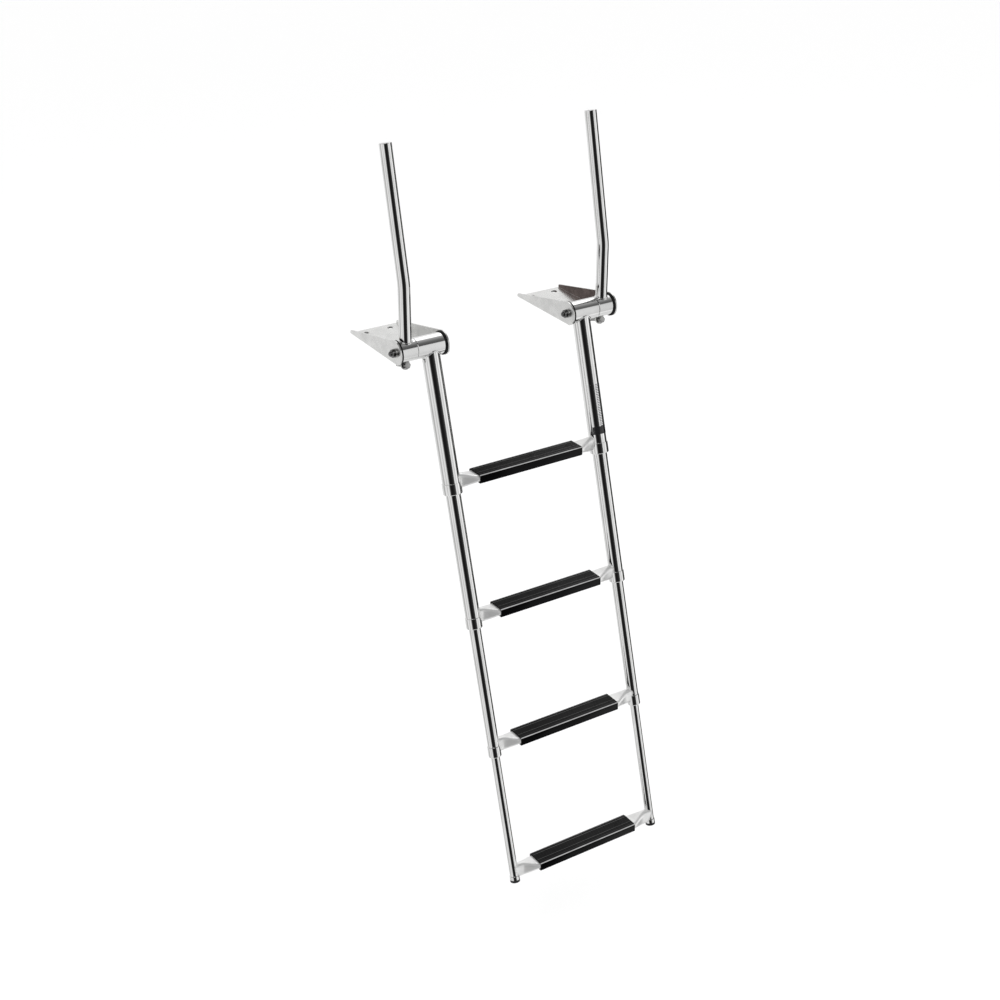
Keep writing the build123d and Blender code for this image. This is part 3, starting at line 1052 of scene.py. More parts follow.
@dataclass(frozen=True)
class Turned:
    """A piece turned about an axis, round or with hexagon flats.

    Attributes:
        profile: Distance along the axis, radius, and whether the hexagon cuts it.
        flats: Size across the flats of the hexagon.
        segments: Points round the axis.
        sharp: Edges that turn more than this stay crisp, in radians.
    """

    profile: Profile
    flats: float = 0.0
    segments: int = 96
    sharp: float = math.radians(28)

    def radius(self, radius: float, hexed: bool, angle: float) -> float:
        """Radius at an angle, cut back by the hexagon where it applies.

        Args:
            radius: Radius of the turned profile.
            hexed: Whether the hexagon cuts it.
            angle: Angle round the axis, in radians.

        Returns:
            The radius.
        """
        if not hexed:
            return radius
        sixth = math.pi / 3
        off_flat = (angle % sixth) - sixth / 2
        return min(radius, self.flats / 2 / math.cos(off_flat))

    def build(self, name: str, place: Matrix, ring: bool = False) -> bpy.types.Object:
        """Build the mesh.

        Args:
            name: Name of the piece.
            place: Matrix from the piece's own axes, axis along Z, to the CAD frame.
            ring: Whether the profile closes on itself round a bore.

        Returns:
            The piece.
        """
        loops = []
        for along, radius, hexed in self.profile:
            loop = []
            for i in range(self.segments):
                angle = 2 * math.pi * i / self.segments
                r = self.radius(radius, hexed, angle)
                loop.append(place @ Vector((r * math.cos(angle), r * math.sin(angle), along)))
            loops.append(loop)
        return skin(name, loops, ring=ring, sharp=self.sharp)


@dataclass(frozen=True)
class WeldBead:
    """A weld run along a closed path, rippled and then polished over.

    Attributes:
        radius: Radius of the bead.
        ripple: Share of the radius that the ripples take.
        pitch: Distance from ripple to ripple.
        around: Points round the bead.
    """

    radius: float = 0.0017
    ripple: float = 0.09
    pitch: float = 0.0022
    around: int = 12

    def build(self, name: str, path: Loop) -> bpy.types.Object:
        """Build the bead.

        Args:
            name: Name of the piece.
            path: Points of the closed path.

        Returns:
            The piece.
        """
        count = len(path)
        middle = sum(path, Vector()) / count
        travelled = 0.0
        loops = []
        for i, point in enumerate(path):
            ahead = path[(i + 1) % count]
            tangent = (ahead - path[i - 1]).normalized()
            travelled += (ahead - point).length
            swell = 1 - self.ripple * (0.5 + 0.5 * math.cos(2 * math.pi * travelled / self.pitch))
            out = (point - middle) - tangent * (point - middle).dot(tangent)
            out.normalize()
            side = tangent.cross(out)
            loop = []
            for k in range(self.around):
                angle = 2 * math.pi * k / self.around
                spoke = out * math.cos(angle) + side * math.sin(angle)
                loop.append(point + spoke * self.radius * swell)
            loops.append(loop)
        return skin(name, loops, ring=True, sharp=math.pi)


# Sub-assemblies


@dataclass
class Rung:
    """A rung pressed flat in its middle, its cover and the welds at its ends.

    Attributes:
        stage: Number of the section, from 1 at the top.
        layout: Shared axes and places.
        tilt: Tread to the square of the stiles, in radians.
        depth, height, corner: Section of the flattened middle.
        end_depth, end_height: Upright oval at the stiles.
        end_slack: Flat left between the end oval's two round halves.
        neck: Length of the change from flat to upright.
        neck_ease: Share of the change that eases in and out; the rest is even.
        flat, flat_margin: Length of the flattened middle, and of its last even stretch.
        bite: How far the ends run into the stiles' walls.
        weld_radius: Radius of the weld beads.
        neck_steps, side_points, tread_points: Steps along a neck, a side and the tread.
        cover_wall, cover_gap, cover_corner, cover_slot: Section of the cover.
        rib_count, rib_pitch, rib_width, rib_height: Ribs of the tread.
        bead_width, bead_height: Beads along the tread's edges.
        end_round, end_steps: Rounding of the cover's ends, and its steps along and across.
        highlight_lines: Painted highlight lines, each by place across, depth below the top, share and
            width.
        rib_highlight: How strongly the painted highlight paints the tops of the ribs.
        cover_sharp: Edges of the cover that turn more than this stay crisp, in radians.
    """

    stage: int
    layout: Layout
    tilt: float = math.radians(13.5)
    depth: float = 41.4 * MM
    height: float = 15.0 * MM
    corner: float = 7.2 * MM
    end_depth: float = 18.0 * MM
    end_height: float = 33.0 * MM
    end_slack: float = 0.3 * MM
    neck: float = 37.0 * MM
    neck_ease: float = 0.55
    flat: float = 254.0 * MM
    flat_margin: float = 2.0 * MM
    bite: float = 0.6 * MM
    weld_radius: float = 1.3 * MM
    neck_steps: int = 18
    side_points: int = 6
    tread_points: int = 150
    cover_wall: float = 2.4 * MM
    cover_gap: float = 0.1 * MM
    cover_corner: float = 4.0 * MM
    cover_slot: float = 14.0 * MM
    rib_count: int = 9
    rib_pitch: float = 3.9 * MM
    rib_width: float = 2.2 * MM
    rib_height: float = 0.9 * MM
    bead_width: float = 3.4 * MM
    bead_height: float = 0.75 * MM
    end_round: float = 0.7 * MM
    end_steps: tuple[tuple[float, float], ...] = ((0.0, 1.0), (1 / 3, 0.35), (1.0, 0.0))
    # Painted highlight lines along the cover: place across, depth below the top, share and width.
    highlight_lines: tuple[tuple[float, float, float, float], ...] = (
        (-21.7 * MM, 0.9 * MM, 1.0, 2.4 * MM),
        (-7.8 * MM, -0.9 * MM, 0.20, 1.0 * MM),
        (11.7 * MM, -0.9 * MM, 0.25, 1.0 * MM),
        (18.0 * MM, -0.7 * MM, 0.15, 1.4 * MM),
    )
    rib_highlight: float = 0.035
    cover_sharp: float = math.radians(50)

    def place(self) -> Matrix:
        """Axes of the rung: X along it, Z out of the tread, origin at its middle."""
        low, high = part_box(f"rung_{self.stage}")
        up = Matrix.Rotation(self.tilt, 3, "X") @ self.layout.up
        return axes_matrix((low + high) / 2, X_AXIS, up)

    def section(self, depth: float, height: float, corner: float) -> Outline:
        """Rounded rectangle with points shared out along its sides too.

        Args:
            depth: Size along Y.
            height: Size along Z.
            corner: Radius of the corners.

        Returns:
            The points, as Y and Z.
        """
        corners = rounded_box(depth / 2, height / 2, corner)
        size = ARC_STEPS + 1
        points = []
        for start in range(0, len(corners), size):
            points += corners[start:start + size]
            following = corners[(start + size) % len(corners)]
            last = points[-1]
            points += [between(last, following, i / self.side_points) for i in range(1, self.side_points)]
        return points

    def neck_section(self, t: float) -> Outline:
        """Section part of the way from the flat to the upright end.

        Args:
            t: 0 at the flat and 1 at the end.

        Returns:
            The points, as Y and Z.
        """
        flat = self.section(self.depth, self.height, self.corner)
        upright = self.section(self.end_depth, self.end_height, self.end_depth / 2 - self.end_slack)
        eased = self.neck_ease * smoothstep(t) + (1 - self.neck_ease) * t
        return [between(a, b, eased) for a, b in zip(flat, upright)]

    def stile_inner_x(self, y: float, z: float, deeper: float = 0.0) -> float:
        """X at which a point of the rung's end meets the right stile.

        Args:
            y: Place across the rung.
            z: Place above the rung's middle.
            deeper: How far inside the tube's surface.

        Returns:
            The distance from the ladder's middle plane.
        """
        across = y * math.cos(self.tilt) - z * math.sin(self.tilt)
        radius = self.layout.stile_radius(self.stage) - deeper
        return self.layout.stile_x - math.sqrt(max(radius**2 - across**2, 0.0))

    def stations(self) -> list[tuple[float, Outline]]:
        """Sections of the right half of the rung.

        Returns:
            Distance from the middle and section, outwards.
        """
        half = self.flat / 2
        level = self.section(self.depth, self.height, self.corner)
        made = [(x, level) for x in (0.0, half - self.flat_margin, half)]
        for i in range(1, self.neck_steps + 1):
            t = i / self.neck_steps
            made.append((half + self.neck * t, self.neck_section(t)))
        return made

    def build(self) -> list[bpy.types.Object]:
        """Build the rung, its cover and its two welds, and put them on the section.

        Returns:
            The rung with its welds, and the cover.
        """
        place = self.place()
        outward = [[(x, y, z) for y, z in section] for x, section in self.stations()]
        ends = self.neck_section(1.0)
        outward.append([(self.stile_inner_x(y, z, self.bite), y, z) for y, z in ends])
        inward = [[(-x, y, z) for x, y, z in loop] for loop in outward[:0:-1]]
        loops = [[place @ Vector(point) for point in loop] for loop in inward + outward]
        rung = skin(f"pressed_rung_{self.stage}", loops)
        welds = [self.weld(side, ends, place) for side in Side]
        rung = join(f"pressed_rung_{self.stage}", [rung, *welds])
        cover = self.cover(place)
        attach(rung, f"section_{self.stage}")
        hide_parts(f"rung_{self.stage}")
        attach(cover, f"section_{self.stage}")
        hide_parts(f"rung_cover_{self.stage}")
        LOG.info("built rung %d with its cover and welds", self.stage)
        return [rung, cover]

    def weld(self, side: Side, ends: Outline, place: Matrix) -> bpy.types.Object:
        """Weld bead round one end of the rung."""
        path = [place @ Vector((side.value * self.stile_inner_x(y, z), y, z)) for y, z in ends]
        return WeldBead(radius=self.weld_radius).build(f"rung_weld_{side.word}_{self.stage}", path)

    def tread_height(self, y: float) -> float:
        """Height of the cover's top above its plain face, with ribs and edge beads.

        Args:
            y: Place across the tread.

        Returns:
            The height.
        """
        lift = 0.0
        for i in range(self.rib_count):
            middle = (i - (self.rib_count - 1) / 2) * self.rib_pitch
            lift = max(lift, self.rib_height * bump_shape(y - middle, self.rib_width))
        grow = self.cover_wall + self.cover_gap
        edge = self.depth / 2 + grow - self.cover_corner - self.bead_width / 2
        return max(lift, self.bead_height * bump_shape(abs(y) - edge, self.bead_width))

    def rubbed(self, y: float, z: float) -> float:
        """Share of the painted highlight at a point of the cover, from 0 to 1.

        Args:
            y: Place across the tread, from its middle towards the boat.
            z: Place above the rung's middle.

        Returns:
            The share, by how near the point is to the top of a bead or rib.
        """
        top = self.height / 2 + self.cover_wall + self.cover_gap
        lines = (
            share * bump_shape(math.hypot(y - place, z - top + below), width)
            for place, below, share, width in self.highlight_lines
        )
        return max(0.0, self.rib_highlight * (z - top) / self.rib_height, *lines)

    def cover_outline(self) -> tuple[Outline, Outline]:
        """Outline of the cover, each side of its wall from one lip of the slot to the other.

        Returns:
            The outer and the inner points, as Y and Z.
        """
        grow = self.cover_wall + self.cover_gap
        half_y, half_z = self.depth / 2 + grow, self.height / 2 + grow
        size = ARC_STEPS + 1
        flank = half_y - self.cover_corner
        slot = self.cover_slot / 2
        corners = rounded_box(half_y, half_z, self.cover_corner)
        lip = [(slot, -half_z), ((slot + flank) / 2, -half_z)]
        outer = lip + corners[-size:] + corners[:size - 1]
        for i in range(self.tread_points + 1):
            y = flank * (1 - 2 * i / self.tread_points)
            outer.append((y, half_z + self.tread_height(y)))
        outer += corners[size + 1:-size] + [(-y, z) for y, z in reversed(lip)]
        gap = self.cover_gap
        inner_z = self.height / 2 + gap
        corners = rounded_box(self.depth / 2 + gap, inner_z, self.corner + gap)
        inner = [(slot, -inner_z), *corners[-size:], *corners[:-size], (-slot, -inner_z)]
        return outer, inner

    def cover(self, place: Matrix) -> bpy.types.Object:
        """Ribbed cover, clipped over the flat of the rung, its ends slightly rounded.

        Args:
            place: Matrix of the rung's axes.

        Returns:
            The cover, with its painted highlight as an attribute.
        """
        outer, inner = self.cover_outline()
        half = self.flat / 2
        stations = [(-half + self.end_round * along, share) for along, share in self.end_steps]
        stations += [(0.0, 0.0)] + [(-x, share) for x, share in reversed(stations)]
        loops = []
        for x, share in stations:
            shrink = 1 - share * self.end_round / (self.depth / 2)
            drop = 1 - share * self.end_round / (self.height / 2 + self.cover_wall)
            loop = [Vector((x, y * shrink, z * drop)) for y, z in outer]
            loop += [Vector((x, y, z)) for y, z in reversed(inner)]
            loops.append([place @ point for point in loop])
        cover = skin(f"ribbed_cover_{self.stage}", loops, sharp=self.cover_sharp)
        back = place.inverted()
        # Painted highlight: its share is stored on each point of the cover.
        shares = cover.data.attributes.new(HIGHLIGHT_ATTRIBUTE, "FLOAT", "POINT")
        for vertex, share in zip(cover.data.vertices, shares.data):
            _, y, z = back @ vertex.co
            share.value = self.rubbed(y, z)
        return cover


@dataclass
class Stiles:
    """The four nested stages of both stiles, as CAD nodes with their finishes.

    Attributes:
        layout: Shared axes and places.
        weld_radius, weld_points: Radius of the sleeves' weld beads, and points round each.
    """

    layout: Layout
    weld_radius: float = 2.0 * MM
    weld_points: int = 120

    def dress(self, wardrobe: Wardrobe, looks: Finishes) -> None:
        """Put the finishes on tubes, collars, bushes, feet and label.

        Args:
            wardrobe: Puts finishes on.
            looks: The ladder's finishes.
        """
        for side in Side:
            wardrobe.dress_nodes(looks.stile, (f"{side.word}_stile_{i}" for i in range(1, STAGES + 1)))
            wardrobe.dress_nodes(looks.collar, (f"{side.word}_collar_{i}" for i in range(1, STAGES)))
            wardrobe.dress_nodes(looks.collar, [f"{side.word}_foot_ferrule"])
            wardrobe.dress_nodes(looks.foot, [f"{side.word}_foot_plug"])
        wardrobe.dress_nodes(looks.guide, [f"guide_bushes_{i}" for i in range(1, STAGES)])
        wardrobe.dress_nodes(looks.guide, [f"top_bushes_{i}" for i in range(2, STAGES + 1)])
        wardrobe.dress_nodes(looks.label, ["stile_label"])
        wardrobe.dress_nodes(looks.label_dark, ["stile_label_band"])

    def weld_sleeves(self, wardrobe: Wardrobe, looks: Finishes) -> None:
        """Weld each top tube to its sleeve.

        Args:
            wardrobe: Puts finishes on.
            looks: The ladder's finishes.
        """
        radius = self.layout.stile_radius(1)
        for side in Side:
            place = self.layout.ladder_matrix(side)
            path = saddle(radius, self.layout.barrel_radius, self.weld_points, place, -1)
            bead = WeldBead(radius=self.weld_radius).build(f"{side.word}_sleeve_weld", path)
            wardrobe.dress(bead, looks.weld)
            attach(bead, "section_1")
            LOG.info("built %s", bead.name)


def saddle(radius: float, barrel: float, count: int, place: Matrix, way: int) -> Loop:
    """Line on which a tube meets a barrel that it stands square on.

    Args:
        radius: Radius of the tube.
        barrel: Radius of the barrel.
        count: Points in the line.
        place: Matrix of the tube's axes, with X along the barrel.
        way: -1 when the tube hangs below the barrel, 1 when it stands above.

    Returns:
        The points of the closed line.
    """
    path = []
    for i in range(count):
        angle = 2 * math.pi * i / count
        x, y = radius * math.cos(angle), radius * math.sin(angle)
        path.append(place @ Vector((x, y, way * math.sqrt(barrel**2 - y**2))))
    return path


@dataclass
class Handrail:
    """One folding handrail with its hub, weld, lug and stop screw.

    Attributes:
        side: Which side of the ladder.
        layout: Shared axes and places.
        slope: Fall of the stop screw towards the boat, in radians.
        drop: Screw axis below the pivot axis.
        thread_radius, thread_depth, thread_pitch: The screw's thread.
        thread_sharp: Edges of the thread that turn more than this stay crisp, in radians.
        tip, seat: Ends of the screw's shank along its axis.
        tip_share, tip_turns: Share of the radius left at the bare tip, and turns of thread that
            the tip already has.
        flats, head: Size and height of the screw's hexagon.
        head_base, head_crown: Outline of the hexagon from its seat and from its top: distance,
            share of half its flats, and whether the hexagon cuts it.
        stand_off: From the screw's seat to the lug.
        lug, locknut: Thickness of the lug and height of the locknut.
        nut_chamfer, nut_face, corner_share: Outline of the locknut: chamfer, and the shares of
            half its flats at its faces and past its corners.
        bore_gap, bore_chamfer: Gap round the thread in the locknut, and the bore's chamfer.
        thread_segments, turn_steps: Points round the thread, and steps in each turn.
        weld_radius, weld_points: Radius of the handrail's weld bead, and points round it.
    """

    side: Side
    layout: Layout
    slope: float = math.radians(17)
    drop: float = 31.5 * MM
    thread_radius: float = 4.0 * MM
    thread_depth: float = 0.6 * MM
    thread_pitch: float = 1.25 * MM
    thread_sharp: float = math.radians(80)
    tip: float = -38.5 * MM
    seat: float = 2.0 * MM
    tip_share: float = 0.8
    tip_turns: float = 0.3
    flats: float = 13.0 * MM
    head: float = 5.3 * MM
    head_base: Profile = ((0.0, 0.90, False), (0.15 * MM, 0.98, False), (0.35 * MM, 1.17, True))
    head_crown: Profile = (
        (-1.3 * MM, 1.17, True), (-0.6 * MM, 1.05, True), (0.0, 0.90, False), (-0.25 * MM, 0.50, False)
    )
    stand_off: float = 4.0 * MM
    lug: float = 4.0 * MM
    locknut: float = 6.5 * MM
    nut_chamfer: float = 0.9 * MM
    nut_face: float = 0.92
    corner_share: float = 1.17
    bore_gap: float = 0.05 * MM
    bore_chamfer: float = 0.5 * MM
    thread_segments: int = 48
    turn_steps: int = 10
    weld_radius: float = 1.8 * MM
    weld_points: int = 96

    @property
    def rail_x(self) -> float:
        """X of the handrail's axis."""
        low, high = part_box(f"{self.side.word}_handrail_hub")
        return (low.x + high.x) / 2

    def screw_matrix(self) -> Matrix:
        """Axes of the stop screw: Z outboard along it, origin straight below the pivot axis."""
        origin = Vector((self.rail_x, self.layout.pivot.y, self.layout.pivot.z - self.drop))
        outboard = Vector((0, -math.cos(self.slope), math.sin(self.slope)))
        return axes_matrix(origin, X_AXIS, outboard)

    def thread_radius_at(self, along: float, turn: float) -> float:
        """Radius of the screw's shank, cut by its thread and thinner at its tip.

        Args:
            along: Place along the screw.
            turn: Place round it, from 0 to 1.

        Returns:
            The radius.
        """
        lead_in = min(1.0, (along - self.tip) / self.thread_pitch + self.tip_turns)
        phase = (along / self.thread_pitch - turn) % 1.0
        cut = self.thread_depth * (1 - abs(2 * phase - 1))
        return (self.thread_radius - cut) * (self.tip_share + (1 - self.tip_share) * lead_in)

    def screw(self) -> bpy.types.Object:
        """Stop screw with a cut thread and a chamfered hexagon head.

        Returns:
            The screw.
        """
        place = self.screw_matrix()
        length = self.seat - self.tip
        steps = round(length / self.thread_pitch * self.turn_steps)
        loops = []
        for row in range(steps + 1):
            along = self.tip + length * row / steps
            loop = []
            for i in range(self.thread_segments):
                turn = i / self.thread_segments
                point = on_circle((0.0, 0.0), self.thread_radius_at(along, turn), 360 * turn)
                loop.append(place @ Vector((*point, along)))
            loops.append(loop)
        shank = skin(f"{self.side.word}_screw_shank", loops, sharp=self.thread_sharp)
        half = self.flats / 2
        top = self.seat + self.head
        profile = tuple((self.seat + along, half * share, hexed) for along, share, hexed in self.head_base)
        profile += tuple((top + along, half * share, hexed) for along, share, hexed in self.head_crown)
        head = Turned(profile, self.flats).build(f"{self.side.word}_screw_head", place)
        return join(f"{self.side.word}_threaded_stop_screw", [shank, head])

    def nut(self) -> bpy.types.Object:
        """Locknut against the deck side of the lug.

        Returns:
            The locknut.
        """
        high = self.seat - self.stand_off - self.lug
        low = high - self.locknut
        half = self.flats / 2
        face, corner = half * self.nut_face, half * self.corner_share
        bore = self.thread_radius + self.bore_gap
        mouth = bore + self.bore_chamfer
        profile = (
            (low, mouth, False),
            (low, face, False),
            (low + self.nut_chamfer, corner, True),
            (high - self.nut_chamfer, corner, True),
            (high, face, False),
            (high, mouth, False),
            (high - self.bore_chamfer, bore, False),
            (low + self.bore_chamfer, bore, False),
        )
        turned = Turned(profile, self.flats)
        return turned.build(f"{self.side.word}_chamfered_locknut", self.screw_matrix(), ring=True)

    def build(self, wardrobe: Wardrobe, looks: Finishes) -> None:
        """Build the meshes, dress the CAD nodes and ride the meshes on their bodies.

        Args:
            wardrobe: Puts finishes on.
            looks: The ladder's finishes.
        """
        word = self.side.word
        low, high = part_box(f"{word}_handrail")
        radius = (high.x - low.x) / 2
        origin = Vector((self.rail_x, self.layout.pivot.y, self.layout.pivot.z))
        foot = axes_matrix(origin, X_AXIS, Z_AXIS)
        path = saddle(radius, self.layout.barrel_radius, self.weld_points, foot, 1)
        bead = WeldBead(radius=self.weld_radius).build(f"{word}_handrail_weld", path)
        screw, nut = self.screw(), self.nut()
        wardrobe.dress(bead, looks.weld)
        wardrobe.dress(screw, looks.stop_steel)
        wardrobe.dress(nut, looks.fastener)
        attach(bead, f"{word}_rail")
        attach(nut, f"{word}_rail")
        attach(screw, f"{word}_stop")
        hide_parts(f"{word}_stop_screw")
        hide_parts(f"{word}_stop_locknut")
        wardrobe.dress_nodes(looks.rail, [f"{word}_handrail"])
        wardrobe.dress_nodes(looks.collar, [f"{word}_handrail_plug"])
        wardrobe.dress_nodes(looks.nylon, [f"{word}_handrail_bush"])
        wardrobe.dress_nodes(looks.fastener, [f"{word}_stop_lug"])
        LOG.info("built the %s handrail's weld, stop screw and locknut", word)


@dataclass
class Barrel:
    """One part of a pivot barrel: a ring with chamfered ends.

    Attributes:
        side: Which side of the ladder.
        part: Name of the part after the side's word.
        body: The body that it rides on, after the side's word where it has one.
        layout: Shared axes and places.
        bore: Radius of the bore.
        chamfer, lip: Size of the chamfers at its ends, outside and in the bore.
        segments: Points round it.
    """

    side: Side
    part: str
    body: str
    layout: Layout
    bore: float = 19.75 * MM
    chamfer: float = 0.8 * MM
    lip: float = 0.25 * MM
    segments: int = 160

    def build(self, wardrobe: Wardrobe, looks: Finishes) -> None:
        """Build, dress and ride the ring.

        Args:
            wardrobe: Puts finishes on.
            looks: The ladder's finishes.
        """
        node = f"{self.side.word}_{self.part}"
        low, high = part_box(node)
        near, far = sorted(abs(x) for x in (low.x, high.x))
        radius, edge = self.layout.barrel_radius, self.chamfer
        profile = (
            (near, self.bore + self.lip, False),
            (near, radius - edge, False),
            (near + edge, radius, False),
            (near + 2 * edge, radius, False),
            (far - 2 * edge, radius, False),
            (far - edge, radius, False),
            (far, radius - edge, False),
            (far, self.bore + self.lip, False),
            (far - self.lip, self.bore, False),
            (near + self.lip, self.bore, False),
        )
        axis = Vector((self.side.value, 0, 0))
        place = axes_matrix(self.layout.pivot, Z_AXIS, axis)
        piece = Turned(profile, segments=self.segments).build(f"{node}_turned", place, ring=True)
        wardrobe.dress(piece, looks.barrel)
        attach(piece, self.body)
        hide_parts(node)
        LOG.info("built %s", piece.name)


@dataclass
class Brackets:
    """Both deck brackets with the pivot hardware and the barrels between their cheeks."""

    layout: Layout

    def build(self, wardrobe: Wardrobe, looks: Finishes) -> None:
        """Build the barrels and dress the plates, bushes, bolts and nuts.

        Args:
            wardrobe: Puts finishes on.
            looks: The ladder's finishes.
        """
        for side in Side:
            wardrobe.dress_nodes(looks.plate, [f"{side.word}_bracket"])
            Barrel(side, "sleeve", "section_1", self.layout).build(wardrobe, looks)
            Barrel(side, "handrail_hub", f"{side.word}_rail", self.layout).build(wardrobe, looks)
        wardrobe.dress_nodes(looks.nylon, ["sleeve_bushes"])
        # The pivot bolts and nuts take the painted dark reflection of pivot_steel.
        wardrobe.dress_nodes(looks.pivot_steel, ["pivot_bolts", "pivot_nuts"])
        wardrobe.dress_nodes(looks.fastener, ["pivot_washers"])


# Studio


@dataclass(frozen=True)
class Lamp:
    """One flat, square, soft light.

    Attributes:
        name: Name of the light.
        spot: Where it hangs.
        size: Length of its sides.
        power: Its power in watts.
    """

    name: str
    spot: tuple[float, float, float]
    size: float
    power: float

    def hang(self) -> None:
        """Hang the light level along X, tipped towards the ladder."""
        data = bpy.data.lights.new(self.name, "AREA")
        data.shape = "RECTANGLE"
        data.size = self.size
        data.size_y = self.size
        data.energy = self.power
        lamp = bpy.data.objects.new(self.name, data)
        low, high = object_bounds()
        spot = Vector(self.spot)
        away = spot - (Vector(low) + Vector(high)) / 2
        away.x = 0.0
        lamp.matrix_world = axes_matrix(spot, X_AXIS, away.normalized())
        bpy.context.scene.collection.objects.link(lamp)


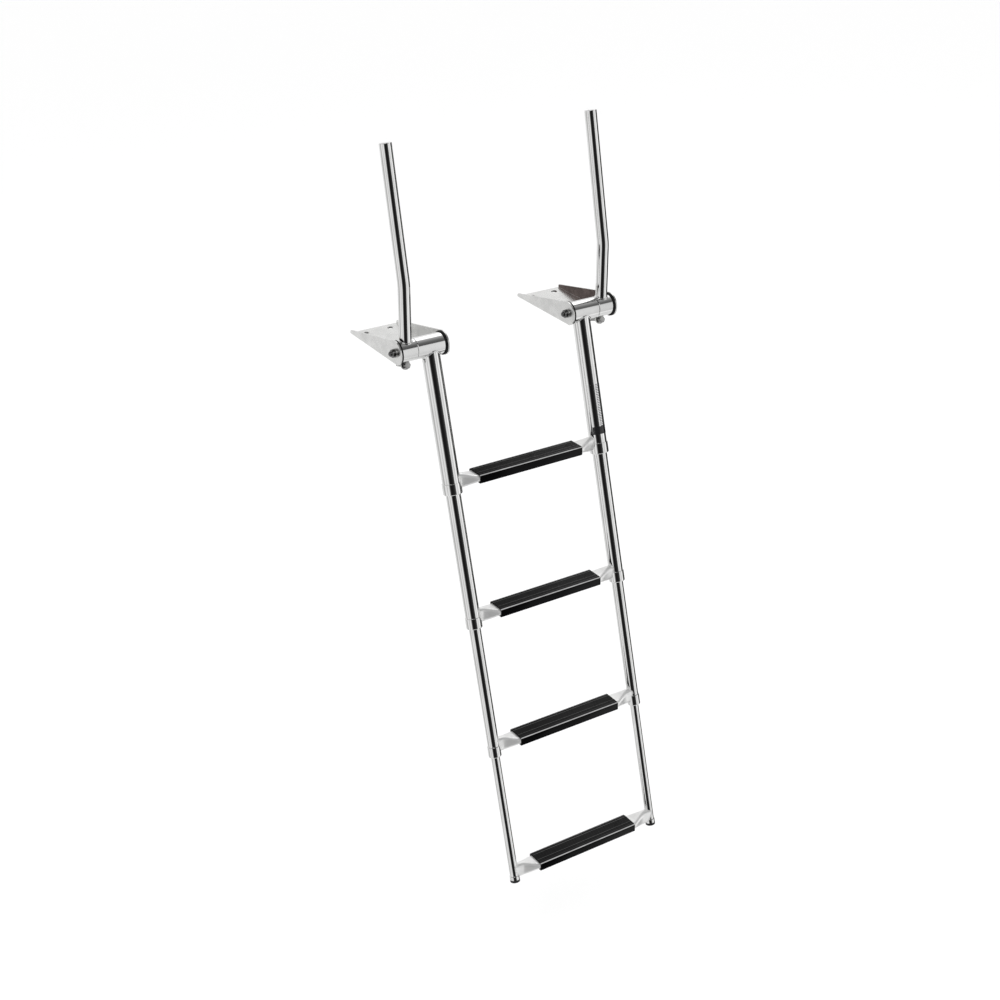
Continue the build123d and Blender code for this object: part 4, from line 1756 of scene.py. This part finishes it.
@dataclass
class Studio:
    """Pale floor, soft light, surrounding cards and the camera.

    Attributes:
        layout: Shared axes and places.
        azimuth: Camera's place round the ladder, in degrees, 0 in front of it.
        elevation, roll: Camera's height angle and tilt, in degrees.
        distance: From the aim plane to the camera.
        aim_right, aim_up: The aim point from the pivot axis, across the view.
        lens, sensor: Focal length and frame width, in millimetres.
        sight: How far the camera sees.
        floor_gap, floor_reach, pale: The floor's depth below the feet, half its size, its colour.
        under, low: Brightness straight below, and of the ring round that.
        soft_light: Brightness that lights rough surfaces evenly.
        cards: Brightness round the horizon, by angle from the camera, in degrees.
        overhead: Brightness overhead, by how far a direction points away from the camera.
        sky_edge, ground_edge, foot_edge: Where overhead, low and straight below begin, by height.
        lamps: The soft lights.
    """

    layout: Layout
    azimuth: float = -32.0
    elevation: float = 27.81
    roll: float = 0.08
    distance: float = 3.2903
    aim_right: float = -0.0136
    aim_up: float = -0.3558
    lens: float = 57.47
    sensor: float = 36.0
    sight: float = 100.0
    floor_gap: float = 0.22
    floor_reach: float = 40.0
    pale: Rgb = (0.98, 0.98, 0.98)
    under: float = 0.85
    low: float = 0.75
    soft_light: float = 1.04
    cards: tuple[tuple[float, float], ...] = (
        (-180, 0.85), (-150, 0.85), (-116, 0.82), (-92, 0.42), (-84, 0.45), (-78, 0.80), (-58, 0.85),
        (-53, 0.55), (-46, 0.60), (-42, 0.85), (-28, 0.80), (-22, 0.30), (-15, 0.02), (4, 0.008),
        (28, 0.02), (40, 0.07), (46, 0.16), (50, 1.0), (56, 0.80), (74, 0.62), (80, 1.0),
        (96, 1.0), (102, 0.03), (146, 0.05), (164, 0.80), (180, 0.85),
    )
    overhead: tuple[tuple[float, float], ...] = (
        (-1.0, 0.06), (-0.45, 0.06), (-0.1, 0.14), (0.3, 0.40), (0.6, 0.80), (1.0, 0.9),
    )
    sky_edge: tuple[tuple[float, float], ...] = ((-1.0, 0.0), (0.46, 0.0), (0.54, 1.0), (1.0, 1.0))
    ground_edge: tuple[tuple[float, float], ...] = ((-1.0, 1.0), (-0.76, 1.0), (-0.66, 0.0), (1.0, 0.0))
    foot_edge: tuple[tuple[float, float], ...] = ((-1.0, 1.0), (-0.95, 1.0), (-0.90, 0.0), (1.0, 0.0))
    lamps: tuple[Lamp, ...] = (
        Lamp("key", (-2.2, -2.6, 2.6), 2.4, 22.0),
        Lamp("fill", (2.6, 1.6, 2.8), 2.6, 16.0),
    )

    def axes(self) -> tuple[Vector, Vector, Vector]:
        """Directions of the camera.

        Returns:
            Its right, up and backward unit vectors.
        """
        a, e, r = (math.radians(v) for v in (self.azimuth, self.elevation, self.roll))
        back = Vector((math.sin(a) * math.cos(e), -math.cos(a) * math.cos(e), math.sin(e)))
        right = Z_AXIS.cross(back).normalized()
        up = back.cross(right)
        turned_right = right * math.cos(r) + up * math.sin(r)
        turned_up = up * math.cos(r) - right * math.sin(r)
        return turned_right, turned_up, back

    def camera(self) -> None:
        """Make the camera and give it to the scene."""
        right, up, back = self.axes()
        spot = self.layout.pivot + right * self.aim_right + up * self.aim_up + back * self.distance
        data = bpy.data.cameras.new("camera")
        data.lens = self.lens
        data.sensor_width = self.sensor
        data.clip_end = self.sight
        camera = bpy.data.objects.new("camera", data)
        camera.matrix_world = Matrix.Translation(spot) @ Matrix((right, up, back)).transposed().to_4x4()
        bpy.context.scene.collection.objects.link(camera)
        bpy.context.scene.camera = camera

    def floor(self) -> None:
        """Lay the pale floor below the feet; polished metal sees the cards through it."""
        size = self.floor_reach
        mesh = bpy.data.meshes.new("floor")
        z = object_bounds()[0][2] - self.floor_gap
        corners = [(-size, -size, z), (size, -size, z), (size, size, z), (-size, size, z)]
        mesh.from_pydata(corners, [], [(0, 1, 2, 3)])
        floor = bpy.data.objects.new("floor", mesh)
        bpy.context.scene.collection.objects.link(floor)
        floor.visible_glossy = False
        material = bpy.data.materials.new("pale floor")
        material.use_nodes = True
        shader = material.node_tree.nodes["Principled BSDF"]
        shader.inputs["Base Color"].default_value = (*self.pale, 1)
        shader.inputs["Roughness"].default_value = 0.9
        shader.inputs["Specular IOR Level"].default_value = 0.0
        mesh.materials.append(material)
        floor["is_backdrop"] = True

    def surround(self) -> None:
        """Light the scene from a surround of white and black cards."""
        world = bpy.data.worlds.new("studio")
        bpy.context.scene.world = world
        world.use_nodes = True
        net = Net(world.node_tree)
        ground = world.node_tree.nodes["Background"]
        direction = net.add("ShaderNodeTexCoord")
        turn = net.add("ShaderNodeVectorRotate", rotation_type="Z_AXIS")
        turn.inputs["Angle"].default_value = -math.radians(self.azimuth)
        net.link(direction.outputs["Generated"], turn.inputs["Vector"])
        parts = net.parts(turn.outputs["Vector"])
        outboard = net.maths("MULTIPLY", parts["Y"], -1.0)
        angle = net.maths("DEGREES", net.maths("ARCTAN2", parts["X"], outboard))
        walls = net.ramp(angle, -180, 180, self.cards)
        sky = net.ramp(parts["Y"], -1, 1, self.overhead)
        above = net.ramp(parts["Z"], -1, 1, self.sky_edge)
        below = net.ramp(parts["Z"], -1, 1, self.ground_edge)
        lowest = net.ramp(parts["Z"], -1, 1, self.foot_edge)
        banded = net.mix(below, net.mix(above, walls, sky), self.low)
        round_about = net.mix(lowest, banded, self.under)
        path = net.add("ShaderNodeLightPath")
        lit = net.mix(path.outputs["Is Diffuse Ray"], round_about, self.soft_light)
        seen = net.mix(path.outputs["Is Camera Ray"], lit, 1.0)
        net.link(seen, ground.inputs["Color"])
        ground.inputs["Strength"].default_value = 1.0

    def build(self) -> None:
        """Set up the whole studio."""
        self.camera()
        self.surround()
        for lamp in self.lamps:
            lamp.hang()
        bpy.context.scene.view_settings.view_transform = "Standard"


def main() -> None:
    """Build every sub-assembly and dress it."""
    logging.basicConfig(level=logging.INFO, format="%(name)s: %(message)s")
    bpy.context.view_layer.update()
    layout = Layout.from_frame()
    wardrobe = Wardrobe(layout.lean)
    looks = Finishes()
    studio = Studio(layout)
    studio.floor()
    Brackets(layout).build(wardrobe, looks)
    stiles = Stiles(layout)
    stiles.dress(wardrobe, looks)
    stiles.weld_sleeves(wardrobe, looks)
    for stage in range(1, STAGES + 1):
        rung, cover = Rung(stage, layout).build()
        wardrobe.dress(rung, looks.rung)
        wardrobe.dress(cover, looks.cover)
    for side in Side:
        Handrail(side, layout).build(wardrobe, looks)
    studio.build()


if __name__ == "__main__":
    main()
